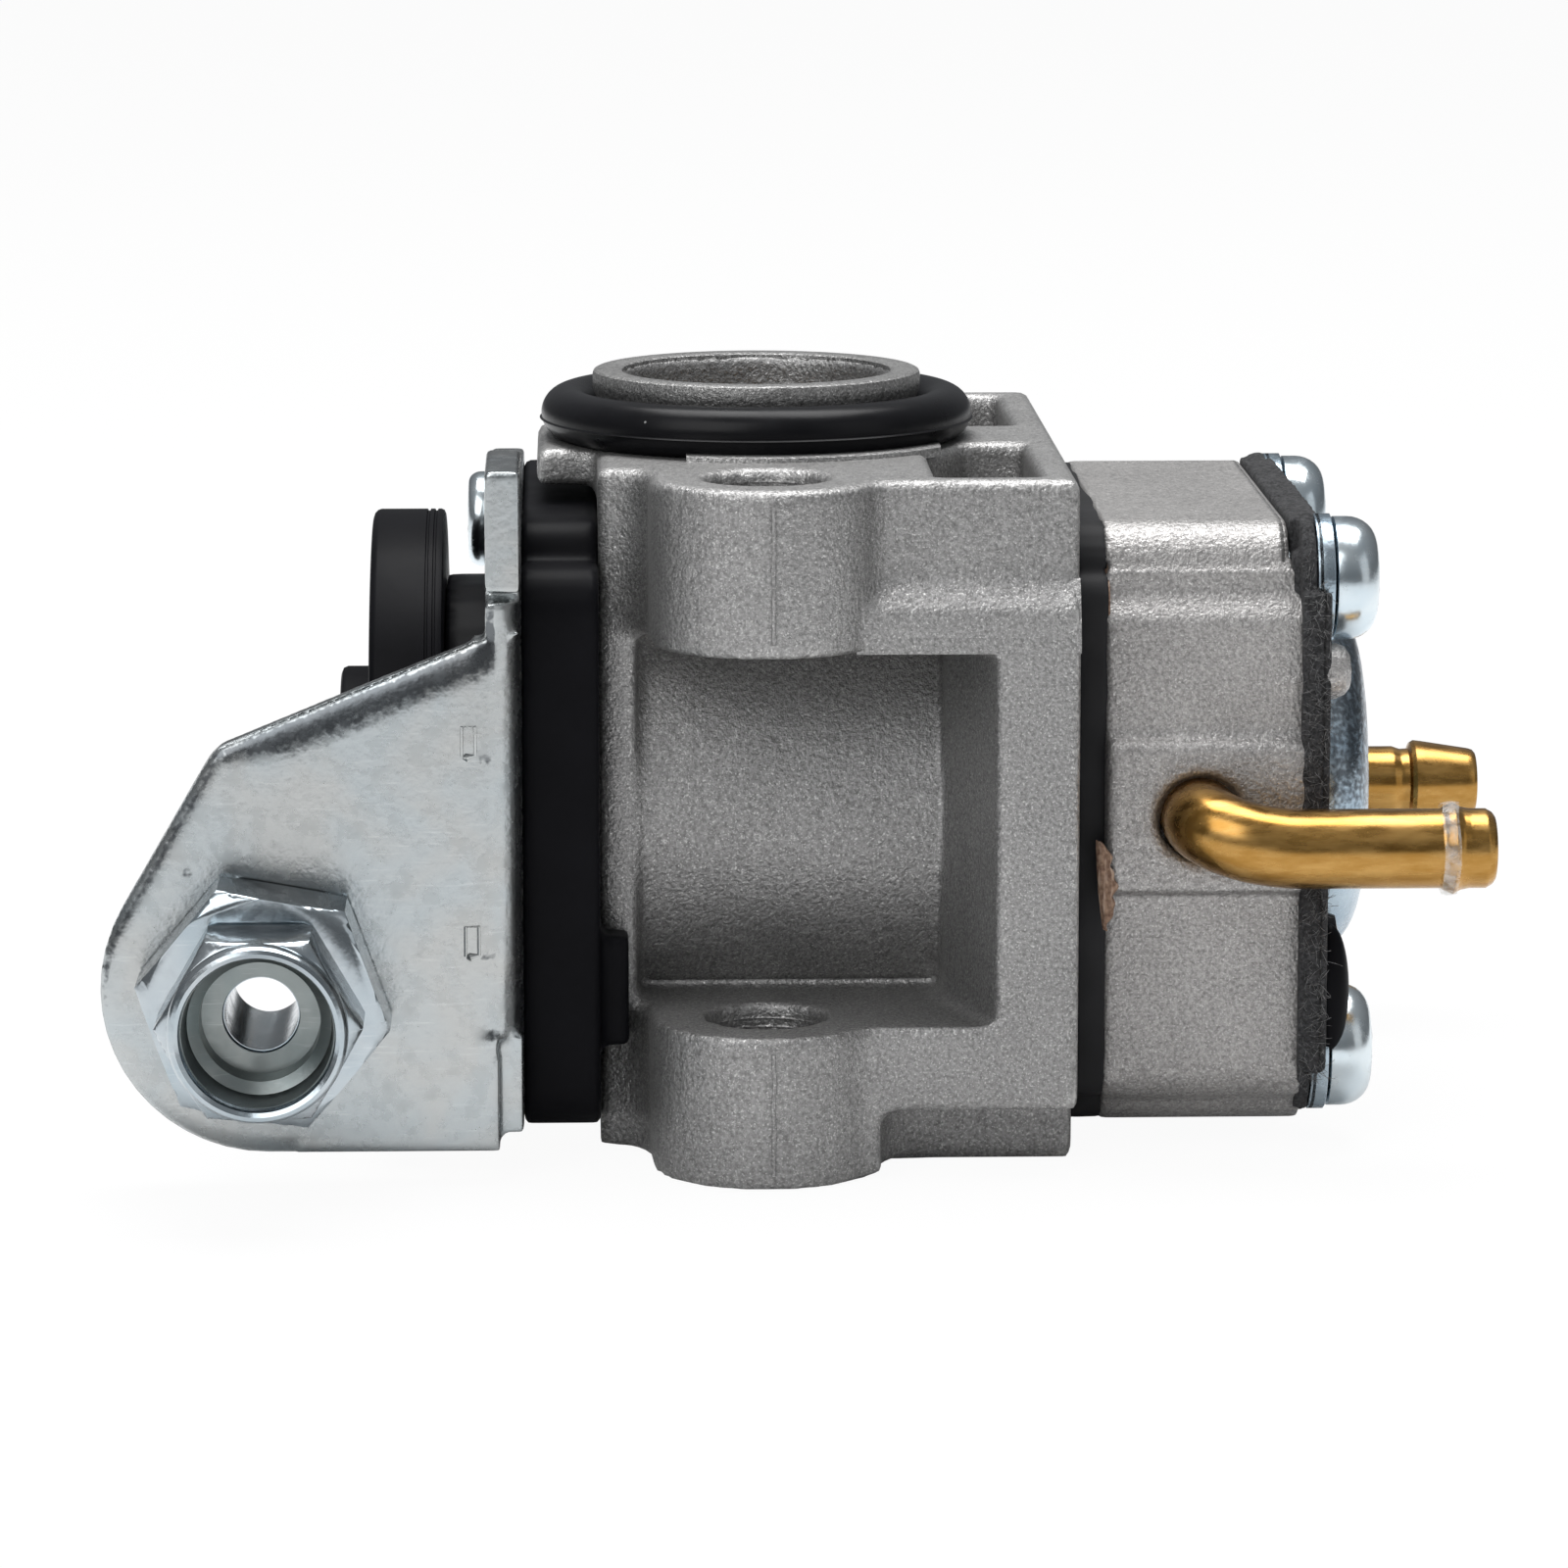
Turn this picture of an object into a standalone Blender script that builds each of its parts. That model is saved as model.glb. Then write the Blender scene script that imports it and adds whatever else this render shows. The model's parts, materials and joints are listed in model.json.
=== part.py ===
"""Rotary-barrel diaphragm carburetor of a small engine, as the pieces it comes apart into.

Metres, +Z up. The intake bore runs along Z and the throttle barrel along X, and they cross at the
design origin. +X is the fuel pump and metering side, -X the throttle lever, -Y the side of the cable.
The finished part stands on its foot, with its origin at the bottom centre of its box.
"""

import math

import bmesh
import bpy
from mathutils import Matrix, Vector

for leftover in list(bpy.data.objects):
    bpy.data.objects.remove(leftover, do_unlink=True)

# Fits
LAYER_GAP = 0.0001  # between flat layers that the screws clamp
SEAT_GAP = 0.0002  # between a fitted piece and its seat
RUN_GAP = 0.0003  # round pieces that turn or slide
HOLE_SLACK = 0.0003  # clearance holes over their screws, on the radius

# Body casting
BORE_R = 0.00625
SPIGOT_R = 0.00775
SPIGOT_H = 0.0031
SPIGOT_LIP = 0.0006
FLANGE_TOP = 0.0164
FLANGE_T = 0.0076
FOOT_DROP = 0.0155
FOOT_T = 0.0070
FOOT_STEP = 0.0031
FOOT_STEP_IN = 0.0037
BODY_LEFT = 0.0076
BODY_RIGHT = 0.01415
COVER_FLANGE_T = 0.00175
COVER_FLANGE_HALF = 0.0126
COVER_FLANGE_DROP = 0.0152
TOP_HALF = 0.0173
FRAME_HALF = 0.0185
FRAME_SHOULDER = 0.0119
FRAME_SLOPE = 0.0013
FRAME_RIB = 0.0037
FRAME_DRAFT = 0.0021
HOUSING_WALL = 0.0035
BOLT_Y = 0.0155
BOLT_R = 0.00275
BOSS_R = 0.0053
LUG_REACH = 0.0028
LUG_T = 0.0017
LUG_HALF = 0.0055
POCKET_DEPTH = 0.0032
POCKET_WALL = 0.0017
POCKET_END = 0.0035

# Spigot seal
SEAL_SECTION_R = 0.0013
SEAL_GROOVE_R = 0.0075

# Throttle barrel, its needle and nozzle
BARREL_R = 0.0084
BARREL_LEFT = 0.0070
BARREL_RIGHT = 0.0084
IDLE_ANGLE = math.radians(75)
STEM_R = 0.0033
STEM_OUT = 0.0016
NEEDLE_R = 0.0012
NEEDLE_TIP_R = 0.0006
NEEDLE_END_R = 0.00036
NEEDLE_TIP_END = 0.0034
NEEDLE_HEAD_R = 0.0022
NEEDLE_HEAD_T = 0.0012
NOZZLE_R = 0.0016
NOZZLE_WALL = 0.0006
NOZZLE_TIP = 0.0010
NOZZLE_HEAD_R = 0.0027
NOZZLE_HEAD_T = 0.0024
NOZZLE_SEAL_R = 0.0005

# Throttle cover, washer and spring
COVER_T = 0.0033
COVER_HALF = 0.0160
COVER_TOP_WALL = 0.0012
COVER_FOOT_WALL = 0.0028
COVER_CROWN_WALL = 0.0029
COVER_CROWN_HALF = 0.0125
COVER_CORNER = 0.0020
HUB_SIDE_WALL = 0.0010
HUB_H = 0.0035
HUB_WALL = 0.0015
TONGUE_LOW = -0.0100
TONGUE_HIGH = -0.0049
TONGUE_IN = 0.0012
TONGUE_SET = 0.0010
STEM_SEAL_W = 0.0017
STEM_SEAL_T = 0.0007
WASHER_T = 0.0005
WASHER_IN = 0.0042
WASHER_OUT = 0.0076
SPRING_R = 0.0060
SPRING_WIRE_R = 0.00045
SPRING_TURNS = 3

# Throttle lever and cable swivel
LEVER_T = 0.0034
LEVER_R = 0.0128
LEVER_NOTCH_R = 0.0093
NOTCH_START = math.radians(190)
NOTCH_END = math.radians(289)
LEVER_NUB_R = 0.0053
LEVER_NUB_H = 0.0016
SWIVEL_ARM = 0.0088
SWIVEL_R = 0.0023
SWIVEL_SHANK_R = 0.0015
SWIVEL_END = 0.0024
SWIVEL_HOLE_R = 0.0010

# Cable bracket
SHEET_T = 0.0016
PLATE_NEAR = 0.0182
PLATE_FAR = 0.0144
PLATE_TOP = 0.0170
PLATE_FOOT_WALL = 0.0023
PLATE_SHOULDER = 0.0090
PLATE_CORNER = 0.0034
WING_PROUD = 0.0008
BEND_R = 0.0022
BEND_TOP = 0.0088
BEND_BOTTOM = -0.0089
WING_KNEE_X = 0.0249
WING_KNEE_Z = 0.0046
WING_KNEE_R = 0.0022
WING_EDGE = 0.0122
WING_ARC_R = 0.0075
CABLE_X = 0.0227
CABLE_Z = -0.0065
TAB_Z = -0.0030
TAB_Y = 0.0130
TAB_HALF = 0.0022
TAB_OUT = 0.0058

# Cable adjuster and lock nut
ADJUSTER_SHANK_R = 0.00285
ADJUSTER_CLEAR = 0.0004
ADJUSTER_HEX = 0.0080
ADJUSTER_HEX_T = 0.0038
ADJUSTER_RIM_R = 0.0040
ADJUSTER_RIM_T = 0.0012
FERRULE_R = 0.0033
FERRULE_DEEP = 0.0046
CABLE_HOLE_R = 0.00165
ADJUSTER_TURN = math.radians(0)
NUT_HEX = 0.0100
NUT_T = 0.0040
NUT_TURN = math.radians(-10)

# Idle speed screw
IDLE_R = 0.00125
IDLE_HEAD_R = 0.0021
IDLE_HEAD_T = 0.0020
IDLE_SPRING_GAP = 0.0042
IDLE_SPRING_WIRE_R = 0.0003
IDLE_SPRING_TURNS = 3
IDLE_SLOT = 0.0007

# Screws
SCREW_PITCH = 0.0110
PUMP_SCREW_R = 0.0015
PUMP_SCREW_DEEP = 0.0050
PUMP_HEAD_R = 0.00285
PUMP_HEAD_T = 0.0020
COVER_SCREW_Y = 0.0104
COVER_SCREW_R = 0.0016
COVER_SCREW_DEEP = 0.0055
COVER_HEAD_R = 0.0027
COVER_HEAD_T = 0.0010
CROSS_W = 0.0009
CROSS_SHARE = 0.55
HEAD_PROFILE = ((0.45, 1.0), (0.75, 0.9), (0.95, 0.68), (1.0, 0.4))  # shares of a head's height and radius

# Pump and metering stack
PUMP_GASKET_T = 0.0009
PUMP_DIAPHRAGM_T = 0.00025
CASTING_T = 0.0089
CASTING_TOP_WALL = 0.0027
CASTING_FOOT_WALL = 0.0028
CASTING_SIDE_WALL = 0.0019
CASTING_CORNER = 0.0022
BUMP_PROUD = 0.0011
BUMP_SET_DOWN = 0.0021
BUMP_SET_UP = 0.0012
BUMP_CORNER = 0.0013
PAD_PROUD = 0.0006
PAD_HALF = 0.0035
PUMP_CHAMBER_R = 0.0050
PUMP_CHAMBER_DEEP = 0.0012
PUMP_CHAMBER_Z = 0.0055
CHAMBER_R = 0.0086
CHAMBER_DEEP = 0.0045
METERING_GASKET_T = 0.0007
METERING_DIAPHRAGM_T = 0.0002
PLATE_T = 0.0008
PLATE_LOBE_R = 0.0030
WAIST_WALL = 0.0008
GASKET_LIP = 0.0005
GASKET_TAB_SET = 0.0002
DOME_R = 0.0088
DOME_H = 0.0029
VENT_R = 0.0008
PEG_R = 0.0011
PEG_TIP_R = 0.0008
PEG_OUT = 0.0001
PEG_Z = 0.0067
BULGE_R = 0.0021
BULGE_TOP_R = 0.0018
BULGE_Z = -0.0064

# Fuel fittings
PIPE_R = 0.00182
PIPE_BORE_R = 0.0011
PIPE_BEND_R = 0.0023
PIPE_CLEAR = 0.00118
PIPE_X = 0.0200
PIPE_SOCKET = 0.0030
INLET_Z = -0.0006
INLET_END = 0.0334
BEAD_BACK = 0.0020
BEAD_R = 0.0021
RETURN_Z = -0.0036
RETURN_END = 0.0369
BARB_BACK = 0.0035
BARB_R = 0.0022
STRAINER_T = 0.0008

# Metering valve
PIN_R = 0.0006
PIN_HALF = 0.0041
PIN_RISE = 0.0017
PIN_Z = 0.0028
POST_W = 0.0010
ARM_W = 0.0024
ARM_T = 0.0007
ARM_LOW = 0.0042
ARM_HIGH = 0.0034
ARM_LIFT = 0.0005
LEVER_HUB_R = 0.0012
LEVER_HUB_HALF = 0.0022
PIN_SCREW_R = 0.0008
PIN_SCREW_HEAD_R = 0.0017
PIN_SCREW_DEEP = 0.0030
PIN_SCREW_HEAD_T = 0.0008
VALVE_R = 0.0010
VALVE_SEAT_R = 0.0019
VALVE_SEAT_DEEP = 0.0028
VALVE_TIP = 0.0010
VALVE_ARM = 0.0024
METER_SPRING_R = 0.0011
METER_SPRING_WIRE_R = 0.0002
METER_SPRING_DEEP = 0.0026
METER_SPRING_TURNS = 4
METER_SPRING_Z = 0.0004
BUTTON_R = 0.0045
BUTTON_T = 0.0006
BUTTON_PIN_R = 0.0005

ROUND = 32  # sides of large round shapes
MID_ROUND = 24  # sides of middling round shapes
SMALL_ROUND = 16  # sides of small round shapes
HOLE_ROUND = 10  # sides of screw holes, pipe bores and seal sections
WIRE_ROUND = 6  # sides of spring wire
COIL_STEPS = 10  # points of one turn of a spring
ARC_STEPS = 5  # points of a rounded corner or a dome
BEND_STEPS = 8  # points of a bend
RIM_STEPS = 36  # points of the lever's rim
WORK_SCALE = 1000  # shapes are combined in millimetres, where Booleans are exact, and finished in metres
WELD = 0.0005  # millimetres within which a Boolean's points are one

AXES = {"x": (1, 2, 0), "y": (0, 2, 1), "z": (0, 1, 2)}

root = bpy.data.objects.new("carburetor", None)
bpy.context.scene.collection.objects.link(root)


def put(axis, u, v, along):
    """A point from its two coordinates across an axis and the one along it."""
    point = [0.0, 0.0, 0.0]
    for place, value in zip(AXES[axis], (u, v, along)):
        point[place] = value
    return Vector(point)


def object_from(bm):
    bmesh.ops.scale(bm, vec=[WORK_SCALE] * 3, verts=bm.verts)
    bmesh.ops.remove_doubles(bm, verts=bm.verts, dist=WELD)
    bmesh.ops.recalc_face_normals(bm, faces=bm.faces)
    mesh = bpy.data.meshes.new("shape")
    bm.to_mesh(mesh)
    bm.free()
    made = bpy.data.objects.new("shape", mesh)
    bpy.context.scene.collection.objects.link(made)
    return made


def prism(axis, outline, low, high):
    """An outline in the plane across an axis, given thickness along it."""
    bm = bmesh.new()
    base = [bm.verts.new(put(axis, u, v, low)) for u, v in outline]
    face = bm.faces.new(base)
    grown = bmesh.ops.extrude_face_region(bm, geom=[face])["geom"]
    moved = [item for item in grown if isinstance(item, bmesh.types.BMVert)]
    bmesh.ops.translate(bm, verts=moved, vec=put(axis, 0, 0, high - low))
    return object_from(bm)


def block(low, high):
    bm = bmesh.new()
    bmesh.ops.create_cube(bm, size=1.0)
    size = [b - a for a, b in zip(low, high)]
    middle = [(a + b) / 2 for a, b in zip(low, high)]
    bmesh.ops.scale(bm, vec=size, verts=bm.verts)
    bmesh.ops.translate(bm, vec=middle, verts=bm.verts)
    return object_from(bm)


def lathe(axis, centre, profile, steps):
    """A profile of (along, radius) points turned about an axis; closed as a ring unless it ends on it."""
    bm = bmesh.new()
    turns = [2 * math.pi * step / steps for step in range(steps)]
    rings = []
    for along, radius in profile:
        across = [(radius * math.cos(t), radius * math.sin(t)) for t in (turns if radius else turns[:1])]
        rings.append([bm.verts.new(put(axis, centre[0] + u, centre[1] + v, along)) for u, v in across])
    pairs = list(zip(rings, rings[1:]))
    if profile[0][1] and profile[-1][1]:
        pairs.append((rings[-1], rings[0]))
    for first, second in pairs:
        for step in range(steps):
            after = (step + 1) % steps
            corners = [first[step % len(first)], first[after % len(first)]]
            corners += [second[after % len(second)], second[step % len(second)]]
            bm.faces.new(list(dict.fromkeys(corners)))
    for pole, beside in ((0, 1), (-1, -2)):
        if profile[pole][1] == 0 and profile[pole][0] == profile[beside][0]:
            bmesh.ops.dissolve_verts(bm, verts=rings[pole])
    return object_from(bm)


def rod(axis, centre, radius, low, high, steps=SMALL_ROUND):
    return lathe(axis, centre, [(low, 0), (low, radius), (high, radius), (high, 0)], steps)


def ring(axis, centre, inner, outer, low, high, steps=SMALL_ROUND):
    return lathe(axis, centre, [(low, inner), (low, outer), (high, outer), (high, inner)], steps)


def rounded(corners):
    """The outline through corners of (u, v, radius), with each corner turned into an arc."""
    outline = []
    for index, (u, v, radius) in enumerate(corners):
        here = Vector((u, v))
        if radius == 0:
            outline.append(here)
            continue
        back = (Vector(corners[index - 1][:2]) - here).normalized()
        ahead = (Vector(corners[(index + 1) % len(corners)][:2]) - here).normalized()
        half = back.angle(ahead) / 2
        centre = here + (back + ahead).normalized() * (radius / math.sin(half))
        start = here + back * (radius / math.tan(half)) - centre
        turn = math.pi - 2 * half
        if back.cross(ahead) > 0:
            turn = -turn
        for step in range(ARC_STEPS + 1):
            outline.append(centre + Matrix.Rotation(turn * step / ARC_STEPS, 2) @ start)
    return [tuple(point) for point in outline]


def box_outline(low_u, high_u, low_v, high_v, radius):
    corners = [(low_u, low_v), (high_u, low_v), (high_u, high_v), (low_u, high_v)]
    return rounded([(u, v, radius) for u, v in corners])


def hexagon(centre, across_flats, turned):
    reach = across_flats / math.sqrt(3)
    turns = [turned + math.radians(60 * step) for step in range(6)]
    return [(centre[0] + reach * math.cos(t), centre[1] + reach * math.sin(t)) for t in turns]


def sweep(path, radii, sides, square_to=None):
    """A round bar along a path, with a radius for each point of it."""
    bm = bmesh.new()
    side = square_to
    rings = []
    for index, point in enumerate(path):
        ahead = (path[min(index + 1, len(path) - 1)] - path[max(index - 1, 0)]).normalized()
        if side is None:
            side = ahead.orthogonal()
        side = (side - ahead * side.dot(ahead)).normalized()
        other = ahead.cross(side)
        turns = [2 * math.pi * step / sides for step in range(sides)]
        rings.append(
            [bm.verts.new(point + (side * math.cos(t) + other * math.sin(t)) * radii[index]) for t in turns]
        )
    for first, second in zip(rings, rings[1:]):
        for step in range(sides):
            after = (step + 1) % sides
            bm.faces.new((first[step], first[after], second[after], second[step]))
    bm.faces.new(rings[0])
    bm.faces.new(rings[-1])
    return object_from(bm)


def combine(operation, target, others, solver):
    for other in others:
        change = target.modifiers.new(operation, "BOOLEAN")
        change.operation = operation
        change.solver = solver
        change.object = other
    bpy.context.view_layer.update()
    graph = bpy.context.evaluated_depsgraph_get()
    target.data = bpy.data.meshes.new_from_object(target.evaluated_get(graph))
    target.modifiers.clear()
    bm = bmesh.new()
    bm.from_mesh(target.data)
    bmesh.ops.remove_doubles(bm, verts=bm.verts, dist=WELD)
    bmesh.ops.dissolve_degenerate(bm, edges=bm.edges, dist=WELD)
    bm.to_mesh(target.data)
    bm.free()
    for other in others:
        bpy.data.objects.remove(other, do_unlink=True)
    return target


def fuse(target, *others, solver="EXACT"):
    return combine("UNION", target, others, solver)


def cut(target, *others, solver="EXACT"):
    return combine("DIFFERENCE", target, others, solver)


def finish(colour, roughness, metallic):
    return {"colour": colour, "roughness": roughness, "metallic": metallic}


CAST = finish((0.42, 0.41, 0.39), 0.55, 0.9)
ZINC = finish((0.66, 0.70, 0.71), 0.28, 1.0)
STEEL = finish((0.55, 0.55, 0.54), 0.35, 1.0)
BRASS = finish((0.72, 0.50, 0.20), 0.25, 1.0)
BLACK = finish((0.02, 0.02, 0.022), 0.45, 0.0)
RUBBER = finish((0.015, 0.015, 0.016), 0.6, 0.0)
FELT = finish((0.03, 0.03, 0.03), 0.95, 0.0)
TAN = finish((0.42, 0.29, 0.20), 0.85, 0.0)


def piece(name, made, look, pivot=(0, 0, 0)):
    """Names a finished shape, gives it its own material and puts its origin on its pivot."""
    made.name = name
    made.data.name = name
    made.data.transform(Matrix.Translation(-Vector(pivot)) @ Matrix.Scale(1 / WORK_SCALE, 4))
    made.location = pivot
    made.parent = root
    made.data.shade_smooth()
    made.data.set_sharp_from_angle(angle=math.radians(32))
    material = bpy.data.materials.new(name)
    material.use_nodes = True
    shader = material.node_tree.nodes["Principled BSDF"]
    shader.inputs["Base Color"].default_value = (*look["colour"], 1)
    shader.inputs["Roughness"].default_value = look["roughness"]
    shader.inputs["Metallic"].default_value = look["metallic"]
    made.data.materials.clear()
    made.data.materials.append(material)
    return made


def helix_points(axis, centre, radius, start, end, turns):
    """Points of a coil along an axis."""
    count = turns * COIL_STEPS
    points = []
    for step in range(count + 1):
        angle = 2 * math.pi * step / COIL_STEPS
        along = start + (end - start) * step / count
        points.append(
            put(axis, centre[0] + radius * math.cos(angle), centre[1] + radius * math.sin(angle), along)
        )
    return points


def least_gap(points, wire_r):
    """The least gap of a coil to itself, measured between points at least half a turn apart."""
    spans = [
        (points[i] - points[j]).length
        for i in range(len(points))
        for j in range(i + COIL_STEPS // 2 + 1, len(points))
    ]
    return min(spans) - 2 * wire_r


def coil(name, axis, centre, radius, wire_r, start, end, turns):
    points = helix_points(axis, centre, radius, start, end, turns)
    print(f"{name}: least gap to itself {least_gap(points, wire_r) * 1000:.2f} mm")
    return piece(name, sweep(points, [wire_r] * len(points), WIRE_ROUND, put(axis, 1, 0, 0)), STEEL)


def pan_screw(axis, centre, face, out, shank_r, deep, head_r, head_t):
    """A cross-recessed pan-head screw; out is +1 or -1 along the axis, face is where its head seats."""
    seat = face + out * SEAT_GAP
    crown = [(seat + out * head_t * share, head_r * width) for share, width in HEAD_PROFILE]
    profile = [(face - out * deep, 0), (face - out * deep, shank_r), (seat, shank_r)]
    profile += [(seat, head_r)] + crown + [(seat + out * head_t, 0)]
    screw = lathe(axis, centre, profile, SMALL_ROUND)
    top = seat + out * head_t
    floor = top - out * head_t * CROSS_SHARE
    low, high = sorted((floor, top + out * head_t))
    reach = head_r * CROSS_SHARE
    for wide, tall in ((reach, CROSS_W / 2), (CROSS_W / 2, reach)):
        outline = [
            (centre[0] + wide * a, centre[1] + tall * b) for a, b in ((-1, -1), (1, -1), (1, 1), (-1, 1))
        ]
        screw = cut(screw, prism(axis, outline, low, high))
    return screw


# Outlines that follow the screws
casting_top = SCREW_PITCH + CASTING_TOP_WALL
casting_drop = SCREW_PITCH + CASTING_FOOT_WALL
casting_half = SCREW_PITCH + CASTING_SIDE_WALL
bump_half = casting_half + BUMP_PROUD
bump_top = casting_top - BUMP_SET_DOWN
bump_drop = casting_drop - BUMP_SET_UP
waist_half = SCREW_PITCH + WAIST_WALL
gasket_tab_half = SCREW_PITCH - GASKET_TAB_SET
peg_y = casting_half + PEG_OUT
pipe_y = bump_half + PIPE_CLEAR + PIPE_R
cover_top = SCREW_PITCH + COVER_TOP_WALL
cover_drop = SCREW_PITCH + COVER_FOOT_WALL
cover_crown = SCREW_PITCH + COVER_CROWN_WALL
plate_drop = SCREW_PITCH + PLATE_FOOT_WALL

# Stations along X, from the lever side to the metering side
flange_under = FLANGE_TOP - FLANGE_T
housing_r = BARREL_R + RUN_GAP + HOUSING_WALL
hub_r = BARREL_R + RUN_GAP + HUB_SIDE_WALL
wing_near = PLATE_NEAR + WING_PROUD
foot_top = -FOOT_DROP + FOOT_T
cover_in = -BODY_LEFT - LAYER_GAP
cover_out = cover_in - COVER_T
plate_in = cover_out - LAYER_GAP
plate_out = plate_in - SHEET_T
hub_out = cover_out - HUB_H
lever_in = hub_out - RUN_GAP
lever_out = lever_in - LEVER_T
nub_out = lever_out - LEVER_NUB_H
gasket_in = BODY_RIGHT + LAYER_GAP
diaphragm_in = gasket_in + PUMP_GASKET_T + LAYER_GAP
casting_in = diaphragm_in + PUMP_DIAPHRAGM_T + LAYER_GAP
casting_out = casting_in + CASTING_T
seal_in = casting_out + LAYER_GAP
skin_in = seal_in + METERING_GASKET_T + LAYER_GAP
lid_in = skin_in + METERING_DIAPHRAGM_T + LAYER_GAP
lid_out = lid_in + PLATE_T
chamber_floor = casting_out - CHAMBER_DEEP
pin_x = chamber_floor + PIN_RISE
arm_in = pin_x + ARM_LIFT
arm_out = arm_in + ARM_T
pin_screw_end = chamber_floor - PIN_SCREW_DEEP
pin_screw_at = (PIN_HALF + PIN_SCREW_R + SEAT_GAP, PIN_Z)
spring_well_r = METER_SPRING_R + METER_SPRING_WIRE_R + SEAT_GAP

PUMP_SCREWS = {
    "metering_screw_near_top": (-SCREW_PITCH, SCREW_PITCH),
    "metering_screw_near_bottom": (-SCREW_PITCH, -SCREW_PITCH),
    "metering_screw_far_top": (SCREW_PITCH, SCREW_PITCH),
    "metering_screw_far_bottom": (SCREW_PITCH, -SCREW_PITCH),
}
COVER_SCREWS = {
    "cover_screw_far_top": (COVER_SCREW_Y, SCREW_PITCH),
    "cover_screw_near_bottom": (-COVER_SCREW_Y, -SCREW_PITCH),
}


def screw_holes(places, radius, low, high):
    return [rod("x", place, radius + HOLE_SLACK, low, high, HOLE_ROUND) for place in places.values()]


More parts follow.
